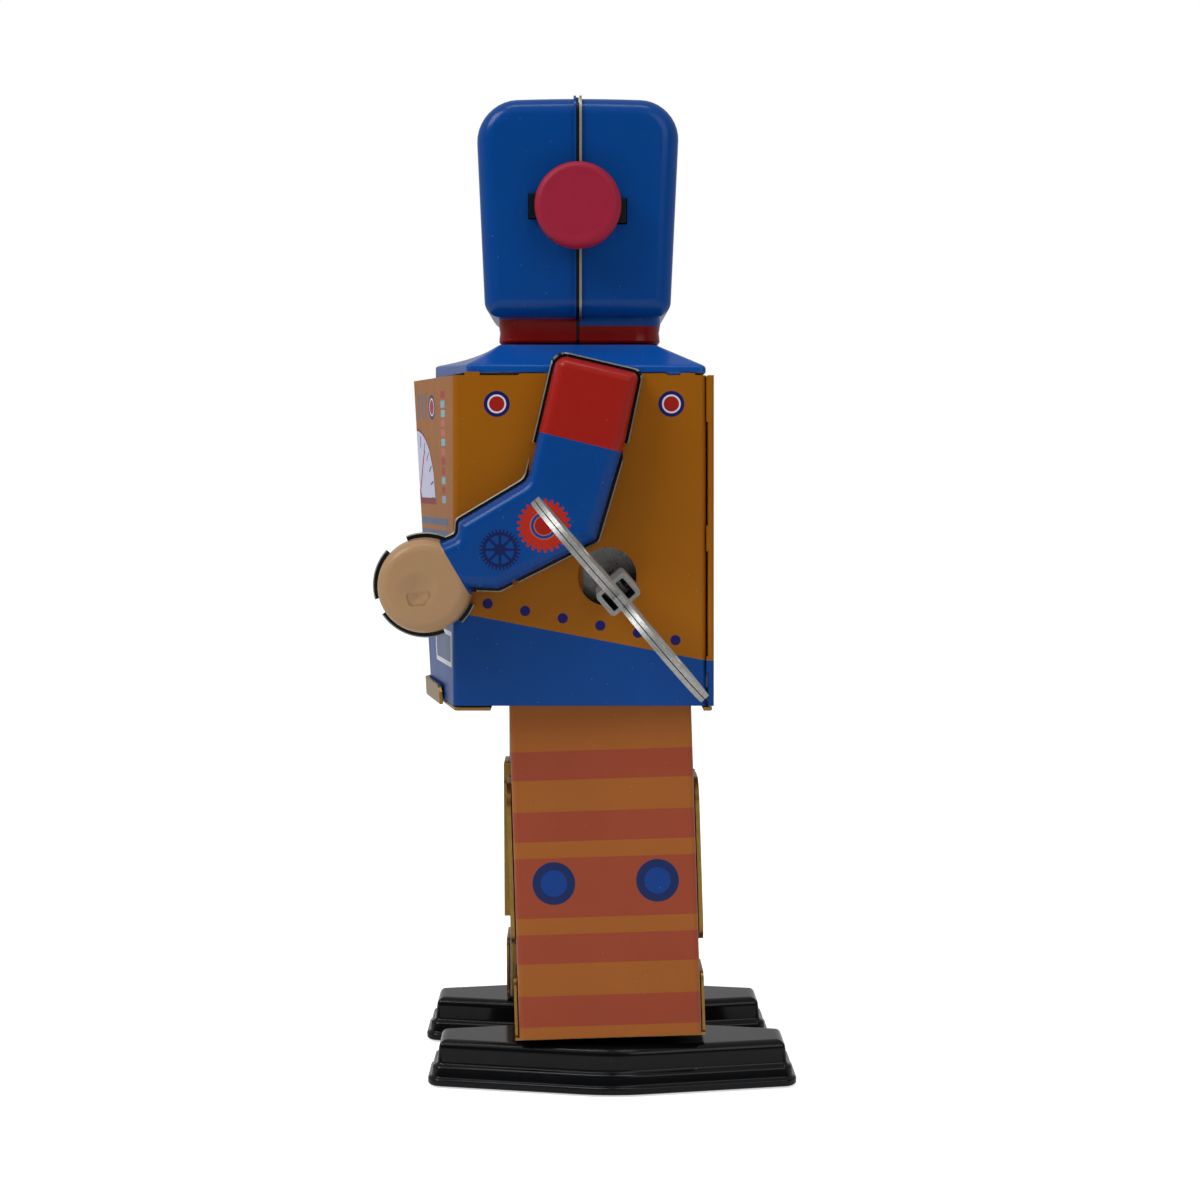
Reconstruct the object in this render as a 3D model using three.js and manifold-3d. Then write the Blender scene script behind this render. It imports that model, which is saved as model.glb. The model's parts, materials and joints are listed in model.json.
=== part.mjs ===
// A clockwork walking robot in printed tinplate, in millimetres.
// It faces -Y, its left side is +X, and it stands on z = 0 with both soles flat.
// Tinplate parts have their real thickness, and pieces that touch keep a gap of GAP.
import * as THREE from 'three';
import { mergeVertices } from 'three/addons/utils/BufferGeometryUtils.js';
import Module from 'manifold-3d';

const wasm = await Module();
wasm.setup();

// Driving dimensions.
const SHEET = 0.5;
const GAP = 0.3;
const RIGHT_ANGLE = Math.PI / 2;
const DEGREE = Math.PI / 180;

const HEAD = {
  top: 197, bottom: 152.8, neckBottom: 147.7, centreY: -0.45,
  halfWidthTop: 23.5, halfWidthBottom: 22, halfDepthTop: 20.5, halfDepthBottom: 18.5,
  cornerRadius: 8, topRadius: 6.5, bottomRadius: 2.5, neckHalfWidth: 18.5, neckHalfDepth: 16.4,
  rimHeight: 0.7, rimThickness: 0.5, slotHalfLength: 9, slotHalfHeight: 2.9, earZ: 174.2,
};
const EAR = { radius: 8.5, inner: 25.5, outer: 30, rim: 0.8, barEnd: 25.2 };
const TORSO = {
  halfWidth: 30, front: -24.6, back: 24.6, bottom: 76.4, top: 140.8,
  ridgeBottom: -31.1, ridgeTop: -34.8, bend: 1.2, returnFlange: 4,
};
const SHOULDERS = { bottom: 141.4, fold: 142.6, top: 147.4, halfWidth: 29.4, front: -22, ridge: -30.2 };
const PLATEAU = { halfWidth: 20, front: -16, back: 15, ridge: -17.5 };
const BASE = {
  bottom: 75.4, top: 76.1, back: 26.1, lipTop: 79.2, lipHalfWidth: 18.5,
  notchInner: 7.2, notchFront: -17.4, notchBack: 24.1,
};
const KEYHOLE = { y: 5.3, z: 101.6, radius: 5.7 };
const ARM = {
  pivotY: 2, pivotZ: 135.5, handY: -30, handZ: 100, handRadius: 9.8, plateInner: 30.6,
  rightArmTurn: 42 * DEGREE, dimpleRadius: 3.3, dimpleDepth: 0.8,
};
const HIP = { y: -3, z: 118, pinRadius: 1.2, pinInner: 14.8, pinOuter: 27.2 };
const LEG = {
  inner: 7.7, outer: 26, halfDepth: 17.95, offsetY: 5.65, top: -35, bottom: -107.5, bend: 1,
  armFront: -4, armBack: 3, meanLean: 1.05 * DEGREE, halfStride: 0.75 * DEGREE, maxSwing: 3 * DEGREE,
};
const FOOT = { halfLength: 36.65, midHalfWidth: 13.9, endHalfWidth: 6.9, centreX: 16.5, sole: 0.6 };
const STANCE = {
  left: { side: 1, footY: 6.4, lean: LEG.meanLean + LEG.halfStride },
  right: { side: -1, footY: 3.8, lean: LEG.meanLean - LEG.halfStride },
};

// The clockwork: two plates, a mainspring and four gear arbors along X.
const MOTOR = { inner: 13.5, outer: 14.5, front: -18.5, back: 20, top: 122, step: 85.5, bottom: 76.4 };
const MODULE = 0.6;
const TEETH = { great: 40, secondPinion: 10, second: 32, crankPinion: 10, crank: 22, escapePinion: 8, escape: 15 };
const WINDING = { y: 7.05, z: 99.5 };
const CRANK_DROP = 33;
const CRANK = { y: HIP.y + CRANK_DROP * Math.sin(LEG.meanLean), z: HIP.z - CRANK_DROP };
const CRANK_THROW = CRANK_DROP * Math.sin(LEG.maxSwing);
const ESCAPE_DIRECTION = -5 * DEGREE;
const VERGE_DIRECTION = 70 * DEGREE;
const VERGE_DISTANCE = 6.6;
const ARBOR = { winding: 1.9, small: 0.8, end: 13.2 };

// Finishes, by name.
const FINISHES = {
  blue: { color: '#04387a', roughness: 0.25, metalness: 0.1 },
  mustard: { color: '#7f4b04', roughness: 0.3, metalness: 0.1 },
  orange: { color: '#8e501c', roughness: 0.3, metalness: 0.1 },
  crimson: { color: '#881631', roughness: 0.55, metalness: 0 },
  black: { color: '#0b0c0e', roughness: 0.2, metalness: 0.1 },
  goldLacquer: { color: '#8a6a33', roughness: 0.35, metalness: 0.7 },
  tin: { color: '#9a9a98', roughness: 0.35, metalness: 0.9 },
  galvanised: { color: '#8f9190', roughness: 0.5, metalness: 0.8 },
  springSteel: { color: '#4c5560', roughness: 0.35, metalness: 0.9 },
  brass: { color: '#a8873f', roughness: 0.35, metalness: 0.9 },
};

// ---------------------------------------------------------------- outlines

function direction([fromU, fromV], [toU, toV]) {
  const length = Math.hypot(toU - fromU, toV - fromV);
  return [(toU - fromU) / length, (toV - fromV) / length];
}

// Moves every edge of a counter-clockwise list of [u, v, radius] corners inwards.
function insetCorners(corners, inset) {
  return corners.map(([u, v, radius], i) => {
    const arrive = direction(corners.at(i - 1), [u, v]);
    const leave = direction([u, v], corners[(i + 1) % corners.length]);
    const turn = Math.atan2(
      arrive[0] * leave[1] - arrive[1] * leave[0],
      arrive[0] * leave[0] + arrive[1] * leave[1],
    );
    const miter = inset / (1 + Math.cos(turn));
    const moved = [u - (arrive[1] + leave[1]) * miter, v + (arrive[0] + leave[0]) * miter];
    return { at: moved, arrive, leave, turn, radius: Math.max(radius - Math.sign(turn) * inset, 0.2) };
  });
}

// The points of an outline with every corner rounded by an arc.
function roundedOutline(corners, inset = 0, steps = 4) {
  const moved = insetCorners(corners, inset);
  return moved.flatMap(({ at, arrive, leave, turn, radius }, i) => {
    const before = moved.at(i - 1).at;
    const after = moved[(i + 1) % moved.length].at;
    const room = 0.45 * Math.min(
      Math.hypot(at[0] - before[0], at[1] - before[1]),
      Math.hypot(after[0] - at[0], after[1] - at[1]),
    );
    const tangent = Math.min(radius * Math.tan(Math.abs(turn) / 2), room);
    const bend = (tangent / Math.tan(Math.abs(turn) / 2)) * Math.sign(turn);
    const start = [at[0] - arrive[0] * tangent, at[1] - arrive[1] * tangent];
    const centre = [start[0] - arrive[1] * bend, start[1] + arrive[0] * bend];
    return Array.from({ length: steps + 1 }, (_, k) => {
      const angle = (turn * k) / steps;
      const [du, dv] = [start[0] - centre[0], start[1] - centre[1]];
      return [
        centre[0] + du * Math.cos(angle) - dv * Math.sin(angle),
        centre[1] + du * Math.sin(angle) + dv * Math.cos(angle),
      ];
    });
  });
}

function rectangle(centreU, centreV, halfU, halfV, radius) {
  return [
    [centreU + halfU, centreV - halfV, radius],
    [centreU + halfU, centreV + halfV, radius],
    [centreU - halfU, centreV + halfV, radius],
    [centreU - halfU, centreV - halfV, radius],
  ];
}

function circle(radius, segments = 24, centreU = 0, centreV = 0) {
  return Array.from({ length: segments }, (_, i) => {
    const angle = (2 * Math.PI * i) / segments;
    return [centreU + radius * Math.cos(angle), centreV + radius * Math.sin(angle)];
  });
}

// ------------------------------------------------------------------ solids

// A closed skin through rings of equal length. Each ring is { at, outline } with a
// counter-clockwise outline: axis 'z' lays it in XY and axis 'x' lays it in YZ.
function loft(rings, axis = 'z') {
  const count = rings[0].outline.length;
  const last = (rings.length - 1) * count;
  const place = axis === 'z' ? ([u, v], at) => [u, v, at] : ([u, v], at) => [at, u, v];
  const positions = rings.flatMap(({ at, outline }) => outline.flatMap((point) => place(point, at)));
  const capOf = (ring) => THREE.ShapeUtils.triangulateShape(ring.outline.map(([u, v]) => new THREE.Vector2(u, v)), []);
  const index = [];
  for (const [a, b, c] of capOf(rings[0])) index.push(c, b, a);
  for (const [a, b, c] of capOf(rings.at(-1))) index.push(last + a, last + b, last + c);
  for (let ring = 0; ring < rings.length - 1; ring += 1) {
    for (let i = 0; i < count; i += 1) {
      const a = ring * count + i;
      const b = ring * count + ((i + 1) % count);
      index.push(a, b, b + count, a, b + count, a + count);
    }
  }
  const geometry = new THREE.BufferGeometry();
  geometry.setAttribute('position', new THREE.Float32BufferAttribute(positions, 3));
  geometry.setIndex(index);
  return geometry;
}

function prism(outline, from, to, axis = 'x') {
  return loft([{ at: from, outline }, { at: to, outline }], axis);
}

function rod(radius, from, to, [y, z] = [0, 0], segments = 20) {
  return prism(circle(radius, segments, y, z), from, to);
}

function box(low, high) {
  const size = high.map((value, i) => value - low[i]);
  const geometry = new THREE.BoxGeometry(...size);
  geometry.translate(...low.map((value, i) => value + size[i] / 2));
  return geometry;
}

function manifoldOf(geometry) {
  const bare = geometry.clone();
  bare.deleteAttribute('normal');
  bare.deleteAttribute('uv');
  const merged = mergeVertices(bare, 1e-5);
  return new wasm.Manifold(new wasm.Mesh({
    numProp: 3,
    vertProperties: new Float32Array(merged.attributes.position.array),
    triVerts: new Uint32Array(merged.index.array),
  }));
}

function geometryOf(solid) {
  const mesh = solid.getMesh();
  const geometry = new THREE.BufferGeometry();
  geometry.setAttribute('position', new THREE.BufferAttribute(mesh.vertProperties, 3));
  geometry.setIndex(new THREE.BufferAttribute(mesh.triVerts, 1));
  return geometry;
}

function join(...geometries) {
  return geometryOf(geometries.map(manifoldOf).reduce((sum, next) => sum.add(next)));
}

function cut(body, ...tools) {
  return geometryOf(tools.map(manifoldOf).reduce((rest, tool) => rest.subtract(tool), manifoldOf(body)));
}

function common(first, second) {
  return geometryOf(manifoldOf(first).intersect(manifoldOf(second)));
}

// The same piece on the other side of the robot, with its faces still outwards.
function forSide(geometry, side) {
  if (side > 0) return geometry;
  const mirrored = geometry.clone().scale(-1, 1, 1);
  const index = mirrored.index.array;
  for (let i = 0; i < index.length; i += 3) [index[i], index[i + 1]] = [index[i + 1], index[i]];
  return mirrored;
}

function piece(name, geometry, finish) {
  const mesh = new THREE.Mesh(geometry, new THREE.MeshStandardMaterial(FINISHES[finish]));
  mesh.name = name;
  return mesh;
}

function groupAt(y, z, turn, pieces) {
  const group = new THREE.Group();
  group.position.set(0, y, z);
  group.rotation.x = turn;
  group.add(...pieces);
  return group;
}

// -------------------------------------------------------------------- head

function headOutline(z, inset) {
  const share = (z - HEAD.bottom) / (HEAD.top - HEAD.bottom);
  const halfWidth = THREE.MathUtils.lerp(HEAD.halfWidthBottom, HEAD.halfWidthTop, share);
  const halfDepth = THREE.MathUtils.lerp(HEAD.halfDepthBottom, HEAD.halfDepthTop, share);
  return roundedOutline(rectangle(0, HEAD.centreY, halfWidth, halfDepth, HEAD.cornerRadius), inset, 5);
}

// The drawn form of the head, shrunk all round by inset, down to the level floor.
function headForm(inset) {
  const rings = [];
  for (const angle of [90, 45, 0]) {
    const z = HEAD.bottom + HEAD.bottomRadius * (1 - Math.sin(angle * DEGREE)) + inset;
    rings.push({ at: z, outline: headOutline(z, inset + HEAD.bottomRadius * (1 - Math.cos(angle * DEGREE))) });
  }
  for (const angle of [0, 22.5, 45, 67.5, 90]) {
    const z = HEAD.top - HEAD.rimHeight - HEAD.topRadius * (1 - Math.sin(angle * DEGREE)) - inset;
    rings.push({ at: z, outline: headOutline(z, inset + HEAD.topRadius * (1 - Math.cos(angle * DEGREE))) });
  }
  return loft(rings);
}

function neckForm(inset, bottom, top) {
  const corners = rectangle(0, HEAD.centreY, HEAD.neckHalfWidth, HEAD.neckHalfDepth, 6);
  return prism(roundedOutline(corners, inset), bottom, top, 'z');
}

// Half of the head, in front of the lateral seam (sign -1) or behind it (sign 1).
function headShell(sign) {
  const far = 40;
  const nearFace = HEAD.centreY + sign * (GAP / 2);
  const rimFace = nearFace + sign * HEAD.rimThickness;
  const slab = (faceA, faceB, z) => box([-far, Math.min(faceA, faceB), z], [far, Math.max(faceA, faceB), HEAD.top + 1]);
  const half = common(join(headForm(0), neckForm(0, HEAD.neckBottom, HEAD.bottom + 3)), slab(nearFace, sign * far, 0));
  const rim = common(headForm(-HEAD.rimHeight), slab(nearFace, rimFace, HEAD.bottom + 1));
  const hollow = join(headForm(SHEET), neckForm(SHEET, HEAD.neckBottom - 1, HEAD.bottom + 4));
  const slot = box(
    [-far, HEAD.centreY - HEAD.slotHalfLength, HEAD.earZ - HEAD.slotHalfHeight],
    [far, HEAD.centreY + HEAD.slotHalfLength, HEAD.earZ + HEAD.slotHalfHeight],
  );
  return cut(join(half, rim), hollow, slot);
}

function earKnob(side) {
  const { radius, inner, outer, rim } = EAR;
  const ring = (at, r) => ({ at, outline: circle(r, 32, -0.4, HEAD.earZ) });
  const disc = loft([ring(inner, radius - rim), ring(inner + rim, radius), ring(outer - rim, radius), ring(outer, radius - rim)], 'x');
  return forSide(disc, side);
}

function earBar() {
  const { slotHalfLength, slotHalfHeight, centreY, earZ } = HEAD;
  return box(
    [-EAR.barEnd, centreY - slotHalfLength + GAP, earZ - slotHalfHeight + GAP],
    [EAR.barEnd, centreY + slotHalfLength - GAP, earZ + slotHalfHeight - GAP],
  );
}

function head() {
  return [
    piece('head_front_shell', headShell(-1), 'blue'),
    piece('head_rear_shell', headShell(1), 'blue'),
    piece('ear_bar', earBar(), 'black'),
    piece('ear_knob_left', earKnob(1), 'crimson'),
    piece('ear_knob_right', earKnob(-1), 'crimson'),
  ];
}

// ------------------------------------------------------------------- torso

// A plan with straight sides and a front that meets in a ridge on the centre line.
function ridgedPlan({ halfWidth, front, back, ridge }, inset = 0) {
  const corners = [
    [halfWidth, front, TORSO.bend],
    [halfWidth, back, TORSO.bend],
    [-halfWidth, back, TORSO.bend],
    [-halfWidth, front, TORSO.bend],
    [0, ridge, TORSO.bend],
  ];
  return roundedOutline(corners, inset, 3);
}

function torsoRing(z, inset, back = TORSO.back) {
  const share = (z - TORSO.bottom) / (TORSO.top - TORSO.bottom);
  const ridge = THREE.MathUtils.lerp(TORSO.ridgeBottom, TORSO.ridgeTop, share);
  return { at: z, outline: ridgedPlan({ ...TORSO, back, ridge }, inset) };
}

function bodyShell() {
  const beyond = TORSO.back + 10;
  const outer = loft([torsoRing(TORSO.bottom, 0), torsoRing(TORSO.top, 0)]);
  const hollow = loft([torsoRing(TORSO.bottom - 2, SHEET, beyond), torsoRing(TORSO.top - SHEET, SHEET, beyond)]);
  const mouth = loft([torsoRing(TORSO.top - 2, TORSO.returnFlange, beyond), torsoRing(TORSO.top + 2, TORSO.returnFlange, beyond)]);
  const keyhole = rod(KEYHOLE.radius, TORSO.halfWidth - 5, TORSO.halfWidth + 5, [KEYHOLE.y, KEYHOLE.z], 32);
  const shoulderHole = rod(1.5 + GAP, -TORSO.halfWidth - 5, TORSO.halfWidth + 5, [ARM.pivotY, ARM.pivotZ]);
  return cut(outer, hollow, mouth, keyhole, shoulderHole);
}

function backCover() {
  const hemRadius = 0.6;
  const near = TORSO.back + GAP;
  const panel = box([-TORSO.halfWidth, near, TORSO.bottom], [TORSO.halfWidth, near + SHEET, TORSO.top]);
  const hems = [-1, 1].map((side) => {
    const outline = circle(hemRadius, 12, side * (TORSO.halfWidth - hemRadius / 2), near + hemRadius);
    return prism(outline, TORSO.bottom, TORSO.top, 'z');
  });
  return join(panel, ...hems);
}

function shoulderCover() {
  const skirt = { ...SHOULDERS, back: TORSO.back };
  const rings = (inset, drop) => [
    { at: SHOULDERS.bottom - drop, outline: ridgedPlan(skirt, inset) },
    { at: SHOULDERS.fold - inset, outline: ridgedPlan(skirt, inset) },
    { at: SHOULDERS.top - inset, outline: ridgedPlan(PLATEAU, inset) },
  ];
  return cut(loft(rings(0, 0)), loft(rings(SHEET, 1)));
}

// The cut-out in the bottom plate that one leg swings in, open to the side.
function legNotch(side) {
  const [near, far] = [BASE.notchInner, TORSO.halfWidth + 1];
  const notch = box([near, BASE.notchFront, BASE.bottom - 1], [far, BASE.notchBack, BASE.top + 1]);
  return side > 0 ? notch : notch.translate(-near - far, 0, 0);
}

function bottomPlate() {
  const thickness = BASE.top - BASE.bottom;
  const plan = { ...TORSO, back: BASE.back, ridge: TORSO.ridgeBottom };
  const ring = (at, inset) => ({ ...torsoRing(at, inset, BASE.back), at });
  const sheet = prism(ridgedPlan(plan, GAP), BASE.bottom, BASE.top, 'z');
  const outside = loft([ring(BASE.bottom, -GAP - thickness), ring(BASE.lipTop, -GAP - thickness)]);
  const inside = loft([ring(BASE.top, -GAP), ring(BASE.lipTop + 1, -GAP)]);
  const front = box([-BASE.lipHalfWidth, -40, BASE.bottom - 1], [BASE.lipHalfWidth, -20, BASE.lipTop + 1]);
  const lip = common(cut(outside, inside), front);
  const rearLip = box([-10, BASE.back - thickness, BASE.bottom], [10, BASE.back, BASE.top + 3]);
  return cut(join(sheet, lip, rearLip), legNotch(1), legNotch(-1));
}

function torso() {
  return [
    piece('body_shell', bodyShell(), 'mustard'),
    piece('back_cover', backCover(), 'mustard'),
    piece('shoulder_cover', shoulderCover(), 'blue'),
    piece('bottom_plate', bottomPlate(), 'goldLacquer'),
  ];
}

// -------------------------------------------------------------------- arms

// Upper arm, elbow and forearm, counter-clockwise about the shoulder, in Y and Z.
const ARM_CORNERS = [
  [12.2, 141.5, 2], [-4.9, 145.5, 3], [-10.7, 120.7, 3], [-24.1, 112.7, 1.2], [-24.3, 110, 0.8],
  [-29, 108, 0.5], [-29, 99.4, 0.5], [-15.6, 98.8, 2], [3.6, 108.5, 1.2], [9.4, 128.2, 8],
].map(([y, z, radius]) => [y - ARM.pivotY, z - ARM.pivotZ, radius]);

// The arm's form through [x, inset] levels: the limb and the round hand, joined.
function armForm(levels) {
  const hand = [ARM.handY - ARM.pivotY, ARM.handZ - ARM.pivotZ];
  const limb = loft(levels.map(([at, inset]) => ({ at, outline: roundedOutline(ARM_CORNERS, inset, 3) })), 'x');
  const fist = loft(levels.map(([at, inset]) => ({ at, outline: circle(ARM.handRadius - inset, 36, ...hand) })), 'x');
  return join(limb, fist);
}

function armShell() {
  const x = ARM.plateInner + SHEET + GAP;
  const outer = armForm([[x, 0.6], [x + 4.1, 0.9], [x + 5.3, 1.9], [x + 5.9, 3.2]]);
  const hollow = armForm([[x - 1, 1.1], [x + 3.8, 1.4], [x + 4.9, 2.4], [x + 5.4, 3.4]]);
  const dimpleAt = [ARM.handY - 1.3 - ARM.pivotY, ARM.handZ - 1.1 - ARM.pivotZ];
  const dish = (depth, extra) => loft([
    { at: x + 5.9 - depth, outline: circle(ARM.dimpleRadius - 1.2 + extra, 20, ...dimpleAt) },
    { at: x + 6.2, outline: circle(ARM.dimpleRadius + extra, 20, ...dimpleAt) },
  ], 'x');
  const cavity = cut(hollow, dish(ARM.dimpleDepth + SHEET, SHEET));
  return cut(outer, cavity, dish(ARM.dimpleDepth, 0));
}

function armPlate() {
  const sheet = armForm([[ARM.plateInner, 0], [ARM.plateInner + SHEET, 0]]);
  return cut(sheet, rod(1.5 + GAP, ARM.plateInner - 1, ARM.plateInner + 2));
}

function shoulderPin() {
  const plateOuter = ARM.plateInner + SHEET + GAP;
  return join(rod(3, 28, 28.9), rod(1.5, 28.5, plateOuter + 0.4), rod(2.6, plateOuter, plateOuter + 0.8));
}

function arm(name, side, turn) {
  return groupAt(ARM.pivotY, ARM.pivotZ, turn, [
    piece(`arm_${name}_shell`, forSide(armShell(), side), 'blue'),
    piece(`arm_${name}_plate`, forSide(armPlate(), side), 'tin'),
    piece(`shoulder_pin_${name}`, forSide(shoulderPin(), side), 'tin'),
  ]);
}

// -------------------------------------------------------------------- legs
// Leg pieces are drawn hanging straight down from the hip pin at y = 0, z = 0.

function legPlan(inset) {
  const { inner, outer, offsetY, halfDepth, bend } = LEG;
  const corners = [
    [outer, offsetY - halfDepth, bend], [outer, offsetY + halfDepth, bend],
    [inner, offsetY + halfDepth, 0], [inner, offsetY - halfDepth, 0],
  ];
  return roundedOutline(corners, inset, 3);
}

// A folded channel, open to the inside, whose outer face runs up to the hip pin.
function legShell() {
  const { inner, outer, offsetY, halfDepth, top, bottom, armFront, armBack } = LEG;
  const channel = prism(legPlan(0), bottom, top, 'z');
  const hollow = prism(legPlan(SHEET), bottom - 1, top + 1, 'z');
  const openSide = box([inner - 1, offsetY - halfDepth + SHEET, bottom - 1], [inner + 2, offsetY + halfDepth - SHEET, top + 1]);
  const strap = box([outer - SHEET, armFront, top - 2], [outer, armBack, 4]);
  return cut(join(cut(channel, hollow, openSide), strap), rod(HIP.pinRadius + GAP, outer - 2, outer + 2));
}

// The steel hanger inside the channel, with the slot that the crank pin drives.
function legHanger() {
  const { offsetY, halfDepth, armFront, armBack } = LEG;
  const [near, far] = [16.3, 17.1];
  const spread = halfDepth - SHEET - GAP;
  const strap = box([near, armFront, -40], [far, armBack, 4]);
  const apron = box([near, offsetY - spread, -56], [far, offsetY + spread, -38]);
  const slot = box([near - 1, -1.1, -CRANK_DROP - 4], [far + 1, 1.1, -CRANK_DROP + 4]);
  return cut(join(strap, apron), slot, rod(HIP.pinRadius + GAP, near - 1, far + 1));
}

// The cover on the inside of the leg, with lips folded round the channel's edges.
function legCover() {
  const { inner, offsetY, halfDepth } = LEG;
  const [near, far] = [inner - GAP - SHEET, inner - GAP];
  const lipNear = halfDepth + GAP;
  const lipFar = lipNear + 0.9;
  const panel = box([near, offsetY - halfDepth + GAP, -106], [far, offsetY + halfDepth - GAP, -46]);
  const belt = box([near, offsetY - lipFar, -90.4], [far, offsetY + lipFar, -58]);
  const lips = [-1, 1].map((sign) => {
    const corners = rectangle(14.5, -74.2, 8 - SHEET, 16.2, 4);
    const outline = roundedOutline(corners, 0, 3);
    const faces = [offsetY + sign * lipNear, offsetY + sign * lipFar].sort((a, b) => a - b);
    const slab = prism(outline, 0, faces[1] - faces[0], 'z');
    return slab.rotateX(RIGHT_ANGLE).translate(0, faces[1], 0);
  });
  return join(panel, belt, ...lips);
}

function ankleBracket() {
  const { bottom, offsetY, halfDepth } = LEG;
  const thickness = 0.6;
  const reach = halfDepth + GAP;
  const baseTop = bottom - GAP;
  const base = box([10, offsetY - reach - thickness, baseTop - thickness], [23, offsetY + reach + thickness, baseTop]);
  const tabs = [-1, 1].map((sign) => {
    const faces = [offsetY + sign * reach, offsetY + sign * (reach + thickness)].sort((a, b) => a - b);
    return box([10, faces[0], baseTop - thickness], [23, faces[1], -96]);
  });
  return join(base, ...tabs);
}

function leg(name, { side, lean }) {
  return groupAt(HIP.y, HIP.z, lean, [
    piece(`leg_${name}_shell`, forSide(legShell(), side), 'orange'),
    piece(`leg_${name}_hanger`, forSide(legHanger(), side), 'tin'),
    piece(`leg_${name}_inner_cover`, forSide(legCover(), side), 'goldLacquer'),
    piece(`ankle_${name}_bracket`, forSide(ankleBracket(), side), 'goldLacquer'),
  ]);
}

function footPlan(inset) {
  const { halfLength, midHalfWidth, endHalfWidth } = FOOT;
  const corners = [
    [endHalfWidth, -halfLength, 3], [midHalfWidth, 0, 35], [endHalfWidth, halfLength, 3],
    [-endHalfWidth, halfLength, 3], [-midHalfWidth, 0, 35], [-endHalfWidth, -halfLength, 3],
  ];
  return roundedOutline(corners, inset, 3);
}

// The shoe: a rolled bottom edge, a stepped flange and a raised block.
function footShell() {
  const skin = (levels) => loft(levels.map(([at, inset]) => ({ at, outline: footPlan(inset) })));
  const outer = skin([[0.3, 0.5], [0.6, 0], [1.6, 0], [2, 0.6], [4, 0.9], [4.5, 1.7], [7.7, 2.2], [8.6, 2.9], [8.9, 4]]);
  const hollow = skin([[-0.5, 1.2], [3.5, 1.5], [4, 2.3], [7.5, 2.8], [8.3, 3.9]]);
  return cut(outer, hollow);
}

function foot(name, { side, footY }) {
  const pieces = [
    piece(`foot_${name}_shell`, footShell(), 'black'),
    piece(`foot_${name}_sole`, prism(footPlan(1.2 + GAP), 0, FOOT.sole, 'z'), 'black'),
  ];
  for (const part of pieces) part.position.set(side * FOOT.centreX, footY, 0);
  return pieces;
}

function hipPin(side) {
  const { pinRadius, pinInner, pinOuter } = HIP;
  return forSide(join(rod(pinRadius, pinInner, pinOuter), rod(2.2, pinOuter - 0.8, pinOuter)), side);
}

// --------------------------------------------------------------- clockwork

const pitchRadius = (teeth) => (teeth * MODULE) / 2;

// Where an arbor stands so that it meshes with the arbors at p and q.
function meshPoint(p, distanceP, q, distanceQ) {
  const span = Math.hypot(q.y - p.y, q.z - p.z);
  const along = (distanceP ** 2 - distanceQ ** 2 + span ** 2) / (2 * span);
  const aside = Math.sqrt(distanceP ** 2 - along ** 2);
  const [uy, uz] = [(q.y - p.y) / span, (q.z - p.z) / span];
  return { y: p.y + uy * along + uz * aside, z: p.z + uz * along - uy * aside };
}

const SECOND = meshPoint(
  WINDING, pitchRadius(TEETH.great) + pitchRadius(TEETH.secondPinion),
  CRANK, pitchRadius(TEETH.second) + pitchRadius(TEETH.crankPinion),
);
const ESCAPE_REACH = pitchRadius(TEETH.crank) + pitchRadius(TEETH.escapePinion);
const ESCAPE = {
  y: CRANK.y + ESCAPE_REACH * Math.cos(ESCAPE_DIRECTION),
  z: CRANK.z + ESCAPE_REACH * Math.sin(ESCAPE_DIRECTION),
};
const VERGE = {
  y: ESCAPE.y + VERGE_DISTANCE * Math.cos(VERGE_DIRECTION),
  z: ESCAPE.z + VERGE_DISTANCE * Math.sin(VERGE_DIRECTION),
};

// The turn that puts a gap of the driven gear on a tooth of the driver.
function meshedTurn(driver, driverTeeth, driverTurn, driven, drivenTeeth) {
  const line = Math.atan2(driven.z - driver.z, driven.y - driver.y);
  return line + Math.PI + Math.PI / drivenTeeth - (driverTurn - line) * (driverTeeth / drivenTeeth);
}

// A trapezoid-toothed outline with its first tooth on the U axis.
function gearOutline(teeth) {
  const radius = pitchRadius(teeth);
  const pitch = (2 * Math.PI) / teeth;
  const profile = [[-0.27, -1.2], [-0.1, 0.8], [0.1, 0.8], [0.27, -1.2]];
  return Array.from({ length: teeth }, (_, tooth) => profile.map(([share, height]) => {
    const angle = (tooth + share) * pitch;
    const reach = radius + height * MODULE;
    return [reach * Math.cos(angle), reach * Math.sin(angle)];
  })).flat();
}

// A saw-toothed outline, for the ratchet and the escape wheel.
function sawOutline(teeth, root, tip) {
  const pitch = (2 * Math.PI) / teeth;
  return Array.from({ length: teeth }, (_, tooth) => [[0, tip], [0.15, tip], [0.3, root], [0.9, root]].map(([share, reach]) => {
    const angle = (tooth + share) * pitch;
    return [reach * Math.cos(angle), reach * Math.sin(angle)];
  })).flat();
}

function wheel(outline, from, to, bore) {
  return cut(prism(outline, from, to), rod(bore + GAP, from - 1, to + 1));
}

// A thin arbor from plate to plate, with a pinion cut on it.
function pinionArbor(teeth, from, to) {
  return join(rod(ARBOR.small, -ARBOR.end, ARBOR.end, [0, 0], 12), prism(gearOutline(teeth), from, to));
}

function motorPlate(side) {
  const { inner, outer, front, back, top, step, bottom } = MOTOR;
  const corners = [
    [-8, step, 0.5], [-8, bottom, 0.5], [9, bottom, 0.5], [9, step, 0.5],
    [back, step, 2], [back, top, 3], [front, top, 3], [front, step, 2],
  ];
  const window = rod(4, inner - 1, outer + 1, [-8, 114]);
  const windingHole = rod(ARBOR.winding + GAP, inner - 1, outer + 1, [WINDING.y, WINDING.z]);
  const crankHole = rod(ARBOR.small + GAP, inner - 1, outer + 1, [CRANK.y, CRANK.z], 12);
  return forSide(cut(prism(roundedOutline(corners, 0, 2), inner, outer), window, windingHole, crankHole), side);
}

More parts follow.
